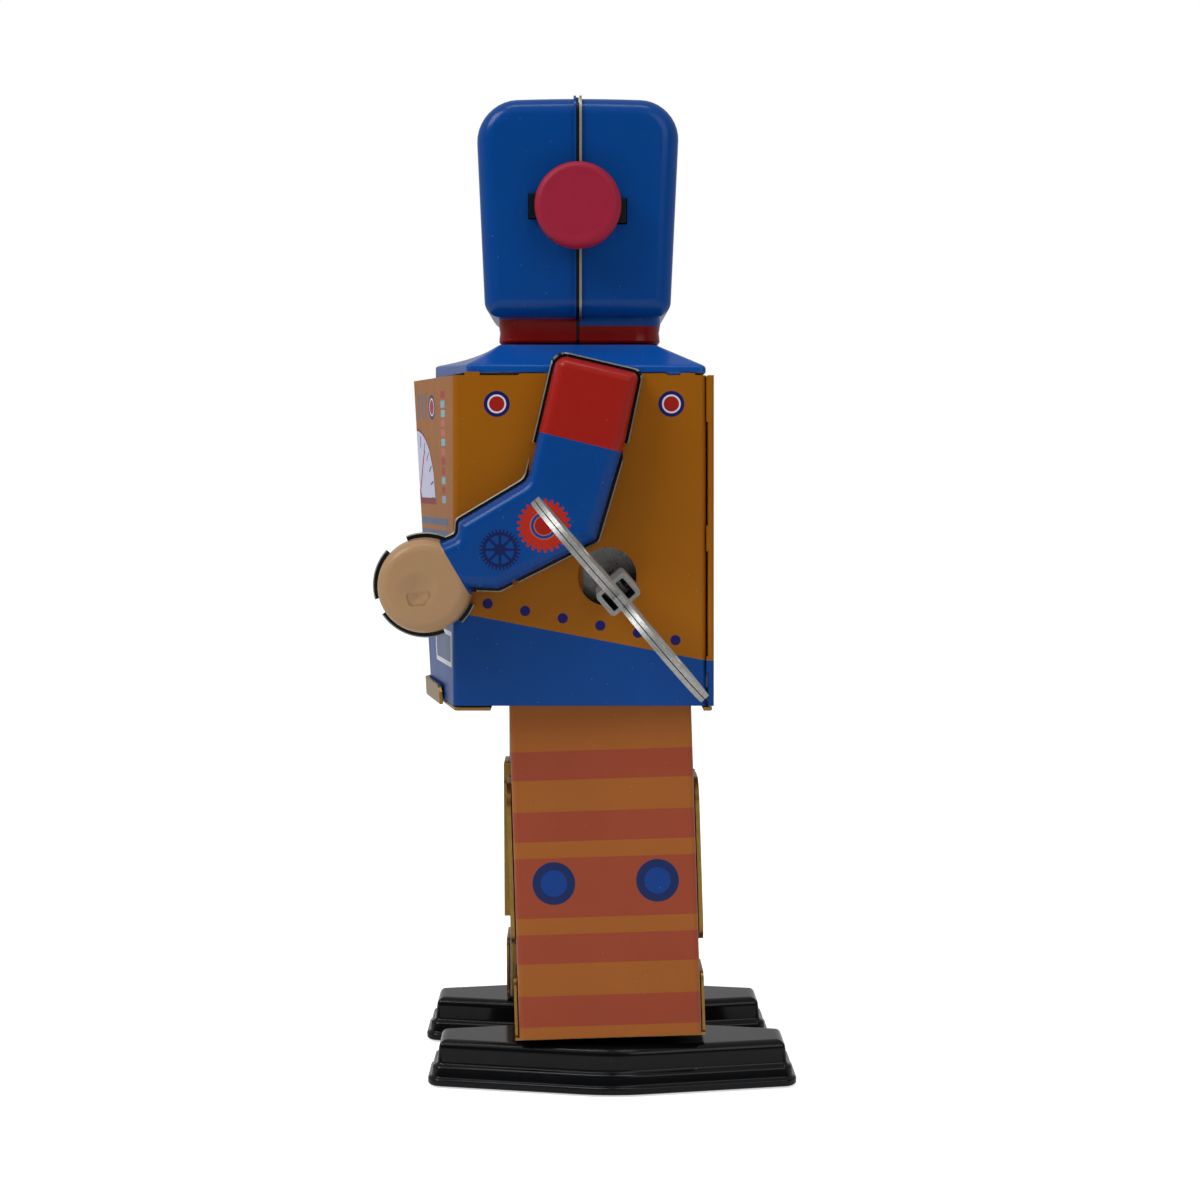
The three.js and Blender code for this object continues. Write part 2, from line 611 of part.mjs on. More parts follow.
function motorPillars() {
  const places = { front_top: [-14.5, 118.5], back_top: [16.5, 118.5], back_bottom: [17.5, 89], front_bottom: [-15.8, 87.9] };
  const reach = MOTOR.inner - GAP;
  return Object.entries(places).map(([name, at]) => piece(`motor_pillar_${name}`, rod(1.3, -reach, reach, at, 16), 'tin'));
}

function mainspring() {
  const [start, pitch, turns, thickness, steps] = [2.8, 1.5, 6, 0.45, 24];
  const points = Array.from({ length: turns * steps + 1 }, (_, i) => i / steps);
  const edge = (offset) => points.map((turn) => {
    const radius = start + pitch * turn + offset;
    return [radius * Math.cos(2 * Math.PI * turn), radius * Math.sin(2 * Math.PI * turn)];
  });
  return prism([...edge(thickness), ...edge(0).reverse()], -12.5, -4.5);
}

// Round between the plates, and square beyond them where the key slides on.
function windingArbor() {
  const square = roundedOutline(rectangle(0, 0, 1.5, 1.5, 0.2), 0, 1);
  return join(rod(ARBOR.winding, -ARBOR.end - 2, 15.5), prism(square, 15, 40));
}

// A folded steel key: a square sleeve and a flat bow with two eyes.
function windingKey() {
  const [sleeveStart, sleeveEnd, bowX, bowRadius, bowCentre, halfThickness] = [30.5, 53, 66, 11.9, 11.3, 0.8];
  const sleeve = prism(roundedOutline(rectangle(0, 0, 3.3, 3.3, 0.9), 0, 2), sleeveStart, sleeveEnd);
  const socket = prism(roundedOutline(rectangle(0, 0, 1.9, 1.9, 0.2), 0, 1), sleeveStart - 1, 41);
  const disc = (radius, sign, height) => prism(circle(radius, 32, bowX, sign * bowCentre), -height, height, 'z');
  const neck = box([sleeveEnd - 4, -6, -halfThickness], [bowX + 6, 6, halfThickness]);
  const bows = [-1, 1].map((sign) => disc(bowRadius, sign, halfThickness));
  const eyes = [-1, 1].map((sign) => disc(4.4, sign * 1.12, 3));
  return cut(join(sleeve, neck, ...bows), socket, ...eyes);
}

function click() {
  const pivot = [8.2, 0];
  const lever = box([-1.7, -0.5, -4.6], [-0.5, 0.5, 0]);
  const boss = rod(1.2, -1.7, -0.5, [0, 0], 14);
  const tilt = 52 * DEGREE;
  return join(boss, lever).rotateX(-tilt).translate(0, ...pivot);
}

function crank(side) {
  const pin = [CRANK_THROW, 0];
  return forSide(join(rod(3.2, 14.9, 15.7), rod(0.8, 15.2, 16, pin, 12)), side);
}

// The anchor that rocks over the escape wheel, drawn about its own pivot.
function verge() {
  const sweep = Array.from({ length: 9 }, (_, i) => VERGE_DIRECTION + Math.PI + (i - 4) * 13 * DEGREE);
  const arc = (radius, angles) => angles.map((angle) => {
    const towards = angle - Math.PI;
    return [
      -VERGE_DISTANCE * Math.cos(VERGE_DIRECTION) + radius * Math.cos(towards),
      -VERGE_DISTANCE * Math.sin(VERGE_DIRECTION) + radius * Math.sin(towards),
    ];
  });
  const anchor = prism([...arc(6.4, sweep), ...arc(5.2, [...sweep].reverse())], 11.3, 12.7);
  return join(anchor, rod(1.6, 11.3, 12.7, [0, 0], 14), rod(0.6, 10.2, ARBOR.end, [0, 0], 12));
}

function clockwork() {
  const greatTurn = 0;
  const secondTurn = meshedTurn(WINDING, TEETH.great, greatTurn, SECOND, TEETH.secondPinion);
  const crankTurn = meshedTurn(SECOND, TEETH.second, secondTurn, CRANK, TEETH.crankPinion);
  const escapeTurn = meshedTurn(CRANK, TEETH.crank, crankTurn, ESCAPE, TEETH.escapePinion);
  const pinTurn = Math.acos((CRANK_DROP * Math.sin(LEG.halfStride)) / CRANK_THROW);
  const keyTurn = Math.atan2(-0.759, 0.651);
  const second = [
    piece('second_arbor', pinionArbor(TEETH.secondPinion, -4, -1), 'tin'),
    piece('second_wheel', wheel(gearOutline(TEETH.second), 3, 4.2, ARBOR.small), 'brass'),
  ];
  const cranks = [
    piece('crank_left', crank(1).rotateX(pinTurn - crankTurn), 'tin'),
    piece('crank_right', crank(-1).rotateX(pinTurn + Math.PI - crankTurn), 'tin'),
  ];
  const crankParts = [
    piece('crank_arbor', pinionArbor(TEETH.crankPinion, 2.5, 4.7), 'tin'),
    piece('crank_wheel', wheel(gearOutline(TEETH.crank), 8, 9.2, ARBOR.small), 'brass'),
    ...cranks,
  ];
  const escape = [
    piece('escape_arbor', pinionArbor(TEETH.escapePinion, 7.6, 9.6), 'tin'),
    piece('escape_wheel', wheel(sawOutline(TEETH.escape, 3.5, 4.5), 11.5, 12.5, ARBOR.small), 'brass'),
  ];
  const ratchet = sawOutline(12, 3.8, 4.8);
  return [
    piece('motor_plate_left', motorPlate(1), 'tin'),
    piece('motor_plate_right', motorPlate(-1), 'tin'),
    ...motorPillars(),
    groupAt(WINDING.y, WINDING.z, greatTurn, [
      piece('great_wheel', wheel(gearOutline(TEETH.great), -3.5, -2, ARBOR.winding), 'brass'),
      piece('click', click(), 'springSteel'),
      piece('mainspring', mainspring(), 'springSteel'),
    ]),
    groupAt(WINDING.y, WINDING.z, keyTurn, [
      piece('winding_arbor', windingArbor(), 'tin'),
      piece('ratchet_wheel', wheel(ratchet, -1.7, -0.5, ARBOR.winding), 'springSteel'),
      piece('winding_key', windingKey(), 'galvanised'),
    ]),
    groupAt(SECOND.y, SECOND.z, secondTurn, second),
    groupAt(CRANK.y, CRANK.z, crankTurn, crankParts),
    groupAt(ESCAPE.y, ESCAPE.z, escapeTurn, escape),
    groupAt(VERGE.y, VERGE.z, 0, [piece('verge', verge(), 'springSteel')]),
  ];
}

// ------------------------------------------------------------------- robot

function robot() {
  const group = new THREE.Group();
  group.add(...head(), ...torso(), ...clockwork());
  group.add(arm('left', 1, 0), arm('right', -1, ARM.rightArmTurn));
  for (const [name, stance] of Object.entries(STANCE)) {
    group.add(leg(name, stance), ...foot(name, stance));
    group.add(groupAt(HIP.y, HIP.z, 0, [piece(`hip_pin_${name}`, hipPin(stance.side), 'tin')]));
  }
  return group;
}

// The origin is under the middle of the whole object, at the level of the soles.
function centred(object) {
  const bounds = new THREE.Box3().setFromObject(object, true);
  const centre = bounds.getCenter(new THREE.Vector3());
  object.position.set(-centre.x, -centre.y, -bounds.min.z);
  const frame = new THREE.Group();
  frame.add(object);
  return frame;
}

export default centred(robot());
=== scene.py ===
"""A clockwork robot in printed tinplate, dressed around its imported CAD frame.

Lengths are millimetres in the robot's own frame: x = 0 is its symmetry plane, it faces -y,
its left side is +x and it stands on z = 0. Meshes and cameras turn them into metres with MM.
"""

import cmath
import json
import math

import bpy
from mathutils import Matrix, Vector


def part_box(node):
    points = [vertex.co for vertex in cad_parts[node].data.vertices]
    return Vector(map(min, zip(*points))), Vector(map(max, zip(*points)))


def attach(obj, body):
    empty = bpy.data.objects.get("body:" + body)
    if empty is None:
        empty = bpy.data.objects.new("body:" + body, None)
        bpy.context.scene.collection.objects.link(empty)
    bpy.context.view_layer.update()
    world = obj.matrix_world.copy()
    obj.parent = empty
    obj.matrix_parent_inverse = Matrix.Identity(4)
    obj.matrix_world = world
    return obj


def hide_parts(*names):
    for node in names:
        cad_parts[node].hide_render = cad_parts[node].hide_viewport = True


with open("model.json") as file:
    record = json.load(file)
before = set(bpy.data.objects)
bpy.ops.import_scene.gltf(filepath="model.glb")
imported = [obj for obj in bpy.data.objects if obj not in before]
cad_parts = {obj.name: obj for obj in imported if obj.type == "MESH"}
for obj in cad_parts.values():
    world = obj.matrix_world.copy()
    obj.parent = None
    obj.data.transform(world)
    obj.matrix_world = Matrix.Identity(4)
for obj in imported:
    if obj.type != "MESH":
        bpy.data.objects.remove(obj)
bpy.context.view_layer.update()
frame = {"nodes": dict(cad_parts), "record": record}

MM = 0.001
SHEET = 0.5
BODY_OF = {
    node: body
    for body, nodes in frame["record"]["behaviour"]["bodies"].items()
    for node in nodes
}
SLOT_OF = {part["node"]: part["material_slot"] for part in frame["record"]["subparts"]}

# The robot's own origin in the shared frame, found from the CAD body shell.
TORSO_BACK = 24.6
shell_low, shell_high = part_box("body_shell")
ORIGIN = Vector(((shell_low.x + shell_high.x) / 2, shell_high.y - TORSO_BACK * MM, 0.0))

# Driving dimensions, the same as the CAD part's.
HEAD_CENTRE_Y = -0.45
HEAD_BOTTOM, HEAD_TOP = 152.8, 195.8
HEAD_DEEP_BOTTOM, HEAD_DEEP_TOP = 18.5, 20.45
HEAD_HALF_WIDTH, HEAD_TAPER = 23.5, 1.5
EAR_Y, EAR_Z = -0.4, 174.2
HALF_WIDTH, FRONT, BOTTOM, TOP = 30.0, -24.6, 76.4, 140.8
RIDGE_BOTTOM, RIDGE_TOP = -31.1, -34.8
KEYHOLE = (5.3, 101.6, 5.7)
SHOULDER = (2.0, 135.5)
HAND = (-30.0, 100.0, 9.8)
ARM_BASE = 31.4
RIGHT_ARM_TURN = math.radians(42)
HIP = (-3.0, 118.0)
LEG_OUTER, LEG_INNER, LEG_MIDDLE, LEG_HALF = 26.0, 7.7, 5.65, 17.95
LEG_TOP, LEG_BOTTOM = -35.0, -107.5
LEAN = {"left": math.radians(1.8), "right": math.radians(0.3)}
FOOT_X = 16.5
FOOT_Y = {"left": 6.4, "right": 3.8}
SIDE = {"left": 1, "right": -1}
WINDING = (7.05, 99.5)
KEY_TURN = math.radians(-49.4)


# ------------------------ outlines


def rounded(corners, inset=0.0, steps=8):
    """Points of a counter-clockwise outline of (u, v, radius) corners, moved in by inset."""
    points = [complex(u, v) for u, v, _ in corners]
    edges = [after - before for before, after in zip(points, points[1:] + points[:1])]
    edges = [edge / abs(edge) for edge in edges]
    moved = []
    for i, (point, corner) in enumerate(zip(points, corners)):
        arrive, leave = edges[i - 1], edges[i]
        turn = cmath.phase(leave / arrive)
        at = point + 1j * (arrive + leave) * inset / (1 + math.cos(turn))
        radius = max(corner[2] - math.copysign(inset, turn), 0.15)
        moved.append((at, arrive, turn, radius))
    outline = []
    for i, (at, arrive, turn, radius) in enumerate(moved):
        before, after = moved[i - 1][0], moved[(i + 1) % len(moved)][0]
        half = math.tan(abs(turn) / 2)
        tangent = min(radius * half, 0.45 * abs(at - before), 0.45 * abs(after - at))
        start = at - arrive * tangent
        centre = start + 1j * arrive * math.copysign(tangent / half, turn)
        for step in range(steps + 1):
            point = centre + (start - centre) * cmath.exp(1j * turn * step / steps)
            outline.append((point.real, point.imag))
    return outline


def rectangle(u, v, half_u, half_v, radius):
    return [
        (u + half_u, v - half_v, radius),
        (u + half_u, v + half_v, radius),
        (u - half_u, v + half_v, radius),
        (u - half_u, v - half_v, radius),
    ]


def circle(radius, count=64, u=0.0, v=0.0):
    turns = [2 * math.pi * i / count for i in range(count)]
    return [(u + radius * math.cos(t), v + radius * math.sin(t)) for t in turns]


def roll(low, high, steps=6):
    """(height, inset) levels that turn from an upright wall at low into a flat face at high."""
    angles = [math.pi / 2 * step / steps for step in range(steps + 1)]
    return [
        (
            low[0] + (high[0] - low[0]) * math.sin(angle),
            low[1] + (high[1] - low[1]) * (1 - math.cos(angle)),
        )
        for angle in angles
    ]


def ring_x(x, outline):
    return [(x, u, v) for u, v in outline]


def ring_y(y, outline):
    return [(u, y, v) for u, v in outline]


def ring_z(z, outline):
    return [(u, v, z) for u, v in outline]


# ------------------------ meshes


def mesh_piece(name, points, faces, bare=()):
    """A mesh object in metres from points in mm; the faces whose numbers are in bare get slot 1."""
    mesh = bpy.data.meshes.new(name)
    mesh.from_pydata([Vector(point) * MM for point in points], [], faces)
    bare = set(bare)
    for polygon in mesh.polygons:
        polygon.material_index = 1 if polygon.index in bare else 0
    mesh.validate()
    obj = bpy.data.objects.new(name, mesh)
    bpy.context.scene.collection.objects.link(obj)
    return obj


def loft(name, rings, inner=0):
    """A closed skin through rings of equal length. The first inner rings are its bare inside."""
    count = len(rings[0])
    last = (len(rings) - 1) * count
    points = [point for ring in rings for point in ring]
    faces, bare = [], []
    for ring in range(len(rings) - 1):
        for i in range(count):
            a, b = ring * count + i, ring * count + (i + 1) % count
            if ring < inner:
                bare.append(len(faces))
            faces.append((a, b, b + count, a + count))
    if inner:
        bare.append(len(faces))
    faces.append(tuple(reversed(range(count))))
    faces.append(tuple(range(last, last + count)))
    obj = mesh_piece(name, points, faces, bare)
    face_outwards(obj)
    return obj


def face_outwards(obj):
    """Turns every face of a closed mesh to point out of the solid."""
    mesh = obj.data
    volume = 0.0
    for polygon in mesh.polygons:
        first = mesh.vertices[polygon.vertices[0]].co
        ring = [mesh.vertices[i].co for i in polygon.vertices]
        for second, third in zip(ring[1:], ring[2:]):
            volume += first.dot(second.cross(third))
    if volume < 0:
        mesh.flip_normals()


def box(low, high, name="box"):
    outline = [(low[0], low[1]), (high[0], low[1]), (high[0], high[1]), (low[0], high[1])]
    return loft(name, [ring_z(low[2], outline), ring_z(high[2], outline)])


def combine(body, tools, operation="DIFFERENCE"):
    """The body with each tool cut out of it, added to it, or kept in common with it."""
    for tool in tools:
        modifier = body.modifiers.new("combine", "BOOLEAN")
        modifier.operation = operation
        modifier.solver = "EXACT"
        modifier.object = tool
        bpy.context.view_layer.update()
        depsgraph = bpy.context.evaluated_depsgraph_get()
        mesh = bpy.data.meshes.new_from_object(body.evaluated_get(depsgraph))
        body.modifiers.clear()
        body.data = mesh
        bpy.data.objects.remove(tool)
    return body


def mark(obj, test, slot=1):
    """Gives a slot, 1 being bare metal, to the faces whose centre (mm) and normal pass the test."""
    for polygon in obj.data.polygons:
        if test(polygon.center / MM, polygon.normal):
            polygon.material_index = slot


def mirrored(obj):
    """The same piece on the robot's right side."""
    obj.data.transform(Matrix.Scale(-1, 4, Vector((1, 0, 0))))
    obj.data.flip_normals()
    return obj


def soften(obj, bevel=0.12, limit=28, segments=2):
    """Smooth shading with every sharp edge turned into a small bright roll."""
    obj.data.shade_smooth()
    modifier = obj.modifiers.new("edge roll", "BEVEL")
    modifier.width = bevel * MM
    modifier.segments = segments
    modifier.limit_method = "ANGLE"
    modifier.angle_limit = math.radians(limit)
    modifier.harden_normals = True
    obj.modifiers.new("flat faces", "WEIGHTED_NORMAL").weight = 100
    return obj


def dress(obj, node, *materials, place=None):
    """Puts a finished mesh where the CAD node is, in its materials, riding on its body."""
    obj.name = f"{node}_skin"
    obj.data.name = obj.name
    slots = [polygon.material_index for polygon in obj.data.polygons]
    obj.data.materials.clear()
    for material in materials:
        obj.data.materials.append(material)
    obj.data.polygons.foreach_set("material_index", slots)
    obj.matrix_world = Matrix.Translation(ORIGIN) @ (place or Matrix.Identity(4))
    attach(obj, BODY_OF[node])
    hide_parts(node)
    return obj


# ------------------------ shading


def srgb(red, green, blue):
    """A linear colour from the 0 to 255 values of a display."""
    shares = [value / 255 for value in (red, green, blue)]
    return (*[s / 12.92 if s <= 0.04045 else ((s + 0.055) / 1.055) ** 2.4 for s in shares], 1.0)


class Field:
    """A number that varies over a surface: a node socket that takes ordinary arithmetic."""

    def __init__(self, tree, socket):
        self.tree, self.socket = tree, socket

    def apply(self, operation, *others, clamp=False):
        node = self.tree.nodes.new("ShaderNodeMath")
        node.operation = operation
        node.use_clamp = clamp
        for index, value in enumerate((self, *others)):
            feed(self.tree, value, node.inputs[index])
        return Field(self.tree, node.outputs[0])

    def __add__(self, other):
        return self.apply("ADD", other)

    def __sub__(self, other):
        return self.apply("SUBTRACT", other)

    def __mul__(self, other):
        return self.apply("MULTIPLY", other)

    def __abs__(self):
        return self.apply("ABSOLUTE")

    def __invert__(self):
        return self * -1 + 1


def feed(tree, value, socket):
    """Links a field or socket to an input, or sets the input to a constant."""
    if isinstance(value, Field):
        value = value.socket
    if isinstance(value, bpy.types.NodeSocket):
        tree.links.new(value, socket)
    else:
        socket.default_value = value


def length(u, v):
    return (u * u + v * v).apply("SQRT")


def inside(distance, edge=0.07):
    """1 where the signed distance in mm is negative, with a printed edge's softness."""
    return (distance * (-1 / edge)).apply("ADD", 0.5, clamp=True)


def disc(u, v, centre_u, centre_v, radius):
    return inside(length(u - centre_u, v - centre_v) - radius)


def band(value, low, high):
    """1 between two values of a coordinate."""
    return inside(abs(value - (low + high) / 2) - abs(high - low) / 2)


def patch(u, v, low, high):
    """1 inside an upright rectangle from corner low to corner high."""
    return band(u, low[0], high[0]) * band(v, low[1], high[1])


def side_of(u, v, start, end):
    """Signed distance from the line through two points, positive on its left."""
    du, dv = end[0] - start[0], end[1] - start[1]
    span = math.hypot(du, dv)
    return (v - start[1]) * (du / span) - (u - start[0]) * (dv / span)


def cog(u, v, centre, root, tip, teeth):
    """A printed gear wheel's full disc, with its square teeth."""
    u, v = u - centre[0], v - centre[1]
    wave = (v.apply("ARCTAN2", u) * teeth).apply("COSINE")
    tooth = (wave * 3).apply("MINIMUM", 1).apply("MAXIMUM", -1)
    return inside(length(u, v) - (root + tip) / 2 - tooth * ((tip - root) / 2))


class Paint:
    """A material in the making: colours laid over each other, placed in mm."""

    def __init__(self, name, ground):
        self.material = bpy.data.materials.new(name)
        self.material.use_nodes = True
        self.tree = self.material.node_tree
        self.tree.nodes.clear()
        coordinates = self.tree.nodes.new("ShaderNodeTexCoord")
        self.place = coordinates.outputs["Object"]
        split = self.tree.nodes.new("ShaderNodeSeparateXYZ")
        self.tree.links.new(self.place, split.inputs[0])
        self.x, self.y, self.z = (Field(self.tree, socket) * (1 / MM) for socket in split.outputs)
        self.colour = ground

    def lay(self, colour, mask):
        """Covers what is there with a colour wherever the mask is 1."""
        mix = self.tree.nodes.new("ShaderNodeMix")
        mix.data_type = "RGBA"
        feed(self.tree, mask, mix.inputs[0])
        feed(self.tree, self.colour, mix.inputs[6])
        feed(self.tree, colour, mix.inputs[7])
        self.colour = mix.outputs[2]
        return self

    def shade(self, amount):
        """Multiplies the colour by a field near 1."""
        scale = self.tree.nodes.new("ShaderNodeVectorMath")
        scale.operation = "SCALE"
        solid = isinstance(self.colour, tuple)
        feed(self.tree, self.colour[:3] if solid else self.colour, scale.inputs[0])
        feed(self.tree, amount, scale.inputs["Scale"])
        self.colour = scale.outputs[0]
        return self

    def noise(self, size, detail=2.0, roughness=0.5, stretch=(1, 1, 1), seed=0.0):
        """Noise between 0 and 1 with features of about size mm, drawn out along stretch."""
        mapping = self.tree.nodes.new("ShaderNodeMapping")
        mapping.inputs["Scale"].default_value = [1 / factor for factor in stretch]
        mapping.inputs["Location"].default_value = (seed, -seed, seed / 2)
        self.tree.links.new(self.place, mapping.inputs[0])
        texture = self.tree.nodes.new("ShaderNodeTexNoise")
        texture.inputs["Scale"].default_value = 1 / (size * MM)
        texture.inputs["Detail"].default_value = detail
        texture.inputs["Roughness"].default_value = roughness
        self.tree.links.new(mapping.outputs[0], texture.inputs["Vector"])
        return Field(self.tree, texture.outputs[0])

    def cells(self, size):
        """Distance to the middle of the nearest of many scattered cells, in cell sizes."""
        texture = self.tree.nodes.new("ShaderNodeTexVoronoi")
        texture.inputs["Scale"].default_value = 1 / (size * MM)
        self.tree.links.new(self.place, texture.inputs["Vector"])
        return Field(self.tree, texture.outputs["Distance"])

    def finish(self, roughness, height=None, sockets=None):
        """Closes the material. roughness may be a field; height is a field in mm."""
        shader = self.tree.nodes.new("ShaderNodeBsdfPrincipled")
        output = self.tree.nodes.new("ShaderNodeOutputMaterial")
        self.tree.links.new(shader.outputs[0], output.inputs[0])
        feed(self.tree, self.colour, shader.inputs["Base Color"])
        feed(self.tree, roughness, shader.inputs["Roughness"])
        for name, value in (sockets or {}).items():
            feed(self.tree, value, shader.inputs[name])
        if height is not None:
            bump = self.tree.nodes.new("ShaderNodeBump")
            bump.inputs["Distance"].default_value = MM
            feed(self.tree, height, bump.inputs["Height"])
            self.tree.links.new(bump.outputs[0], shader.inputs["Normal"])
        return self.material


DUST = srgb(190, 185, 175)


def lacquered(paint, roughness=0.2, waves=0.05, gloss=0.14):
    """Clear lacquer over printed tinplate, with faint dents, orange peel and dust."""
    dents = paint.noise(14, detail=1.0, seed=0.3) * waves
    peel = paint.noise(0.7, detail=1.0) * 0.0016
    paint.shade(paint.noise(9, detail=4.0, seed=0.7) * 0.10 + 0.95)
    dust = inside(paint.cells(2.1) - 0.035, edge=0.03) * 0.35
    paint.lay(DUST, dust)
    smear = paint.noise(5, detail=3.0, stretch=(1, 1, 3), seed=1.1) * 0.14 + (roughness - 0.06)
    coat = {"Specular IOR Level": gloss, "Coat Weight": 0.06, "Coat Roughness": 0.08}
    return paint.finish(smear, dents + peel, coat)


def metal(name, colour, roughness, grain=0.004, spots=0.0, size=1.2):
    """Bare or clear-coated metal, mottled and lightly scratched."""
    paint = Paint(name, colour)
    paint.shade(paint.noise(size, detail=5.0, roughness=0.65) * 0.5 + 0.75)
    if spots:
        paint.shade(paint.noise(0.5, detail=2.0, seed=2.0) * spots + (1 - spots / 2))
    scratches = paint.noise(0.25, detail=2.0, stretch=(1, 12, 12))
    rough = paint.noise(size * 0.8, detail=4.0, seed=0.9) * 0.25 + (roughness - 0.12)
    return paint.finish(rough, scratches * grain, {"Metallic": 1.0})


def plastic(name, colour, roughness, grain=0.006):
    """Moulded plastic with a fine matte grain."""
    paint = Paint(name, colour)
    paint.shade(paint.noise(5, detail=3.0) * 0.1 + 0.95)
    rough = paint.noise(0.6, detail=3.0, seed=0.4) * 0.12 + (roughness - 0.06)
    return paint.finish(rough, paint.noise(0.35, detail=3.0) * grain, {"Specular IOR Level": 0.22})


# ------------------------ the prints

BLUE = srgb(3, 62, 131)
MUSTARD = srgb(146, 86, 5)
ORANGE = srgb(156, 89, 34)
STRIPE = srgb(148, 66, 41)
RED = srgb(150, 27, 20)
DARK_RED = srgb(118, 12, 11)
TAN = srgb(164, 130, 95)
NAVY = srgb(20, 22, 92)
WHITE = srgb(205, 205, 215)
PALE_BLUE = srgb(120, 165, 178)
FADED_RED = srgb(178, 92, 70)
SLATE = srgb(70, 88, 120)
LAVENDER = srgb(190, 190, 214)
BLACK = srgb(9, 10, 12)


def roundel(paint, u, v, centre, where, size=1.0):
    """A red spot in a white ring in a navy disc."""
    for radius, colour in ((2.53, NAVY), (1.83, WHITE), (1.5, RED)):
        paint.lay(colour, disc(u, v, *centre, radius * size) * where)


def grille(paint, u, v, middles, low, high, colour, where, half=0.45):
    """Upright bars at the given middles."""
    for middle in middles:
        paint.lay(colour, patch(u, v, (middle - half, low), (middle + half, high)) * where)


def blue_skirt(paint):
    """The blue lower part, whose edge falls towards the back along each side."""
    fall = (paint.y + 21.5).apply("MAXIMUM", 0).apply("MINIMUM", 46.1)
    paint.lay(BLUE, inside(paint.z - 94.1 + fall * 0.1926))


def print_side(paint):
    """Both sides of the body: two roundels on top and a row of rivets over the blue."""
    rivet_y, rivet_z, pitch, fall = -18.0, 96.3, 7.32, 1.42
    side = inside(abs(paint.x) * -1 + 29.3)
    for y in (-16.2, 17.8):
        roundel(paint, paint.y, paint.z, (y, 135.2), side)
    for i in range(6):
        rivet = disc(paint.y, paint.z, rivet_y + pitch * i, rivet_z - fall * i, 1.0)
        paint.lay(NAVY, rivet * side)


def print_chest(paint):
    """The chest: grille, dials, two columns of lamps, a gauge, bars and windows."""
    across, z = abs(paint.x), paint.z
    front = inside(paint.y + 24.2) * inside(across - 29.2)
    grille(paint, across, z, (0, 3, 6, 8.6), 132.8, 138.0, SLATE, front)
    roundel(paint, across, z, (13.3, 135.0), front)
    print_lamps(paint, across, front)
    print_gauge(paint, across, front)
    for low, high in ((111.3, 112.6), (109.0, 110.2)):
        paint.lay(SLATE, patch(across, z, (-1, low), (25.3, high)) * front)
    paint.lay(WHITE, patch(across, z, (9.4, 83.6), (27.6, 90.6)) * front)
    paint.lay(SLATE, patch(across, z, (10.3, 84.5), (26.7, 89.7)) * front)


def print_lamps(paint, across, front):
    """A column of coloured blocks on each side of the chest."""
    lamps = [RED, PALE_BLUE, PALE_BLUE, FADED_RED, FADED_RED, PALE_BLUE]
    lamps += [FADED_RED, RED, RED, PALE_BLUE, RED, PALE_BLUE]
    for row, colour in enumerate(lamps):
        top = 138.0 - 1.9 * row
        paint.lay(colour, patch(across, paint.z, (20.2, top - 1.4), (23.2, top)) * front)


def print_gauge(paint, across, front):
    """A half-round gauge with ticks, a needle and a dark red border."""
    z, middle, radius = paint.z, 116.5, 14.4
    reach = length(paint.x, z - middle)
    upper = front * inside(z * -1 + middle)
    paint.lay(DARK_RED, inside(reach - radius) * upper)
    paint.lay(LAVENDER, inside(reach - 13.9) * upper)
    angle = (z - middle).apply("ARCTAN2", paint.x)
    tick = inside((angle * 12).apply("SINE").apply("ABSOLUTE") * reach * (1 / 12) - 0.22)
    paint.lay(NAVY, tick * band(reach, 10.8, 13.2) * upper)
    needle = abs(side_of(paint.x, z, (0, middle), (6.2, 126.5)))
    paint.lay(RED, inside(needle - 0.35) * inside(reach - 11.5) * upper * inside(paint.x * -1))
    paint.lay(DARK_RED, inside(reach - 1.8) * upper)
    paint.lay(DARK_RED, patch(across, z, (-1, 115.3), (radius, 116.6)) * front)


def print_back(paint):
    """The back: four roundels and a printed louvre."""
    across, z = abs(paint.x), paint.z
    back = inside(paint.y * -1 + 24.75)
    for height in (135.2, 104.0):
        roundel(paint, across, z, (22.0, height), back)
    paint.lay(NAVY, patch(across, z, (-1, 112.0), (15.0, 130.0)) * back)
    for row in range(6):
        low = 114.0 + 2.5 * row
        paint.lay(SLATE, patch(across, z, (-1, low), (13.2, low + 1.2)) * back)


def body_print():
    paint = Paint("print_body", MUSTARD)
    blue_skirt(paint)
    print_side(paint)
    print_chest(paint)
    print_back(paint)
    return lacquered(paint, roughness=0.3)


def head_print():
    """Blue, with a red neck and a plain robot's face of lamps and a grille."""
    paint = Paint("print_head", BLUE)
    across, z = abs(paint.x), paint.z
    step = inside(paint.y - HEAD_CENTRE_Y) * 1.4
    paint.lay(DARK_RED, inside(z - 151.2 - step))
    face = inside(paint.y + HEAD_CENTRE_Y + 14.0)
    for radius, colour in ((6.2, NAVY), (5.3, WHITE), (4.0, MUSTARD), (2.0, NAVY)):
        paint.lay(colour, disc(across, z, 10.0, 180.0, radius) * face)
    paint.lay(NAVY, patch(across, z, (-1, 159.0), (12.0, 167.0)) * face)
    paint.lay(MUSTARD, patch(across, z, (-1, 159.8), (11.2, 166.2)) * face)
    grille(paint, across, z, (0, 2.5, 5, 7.5, 10), 159.8, 166.2, NAVY, face, half=0.5)
    return lacquered(paint, roughness=0.24)


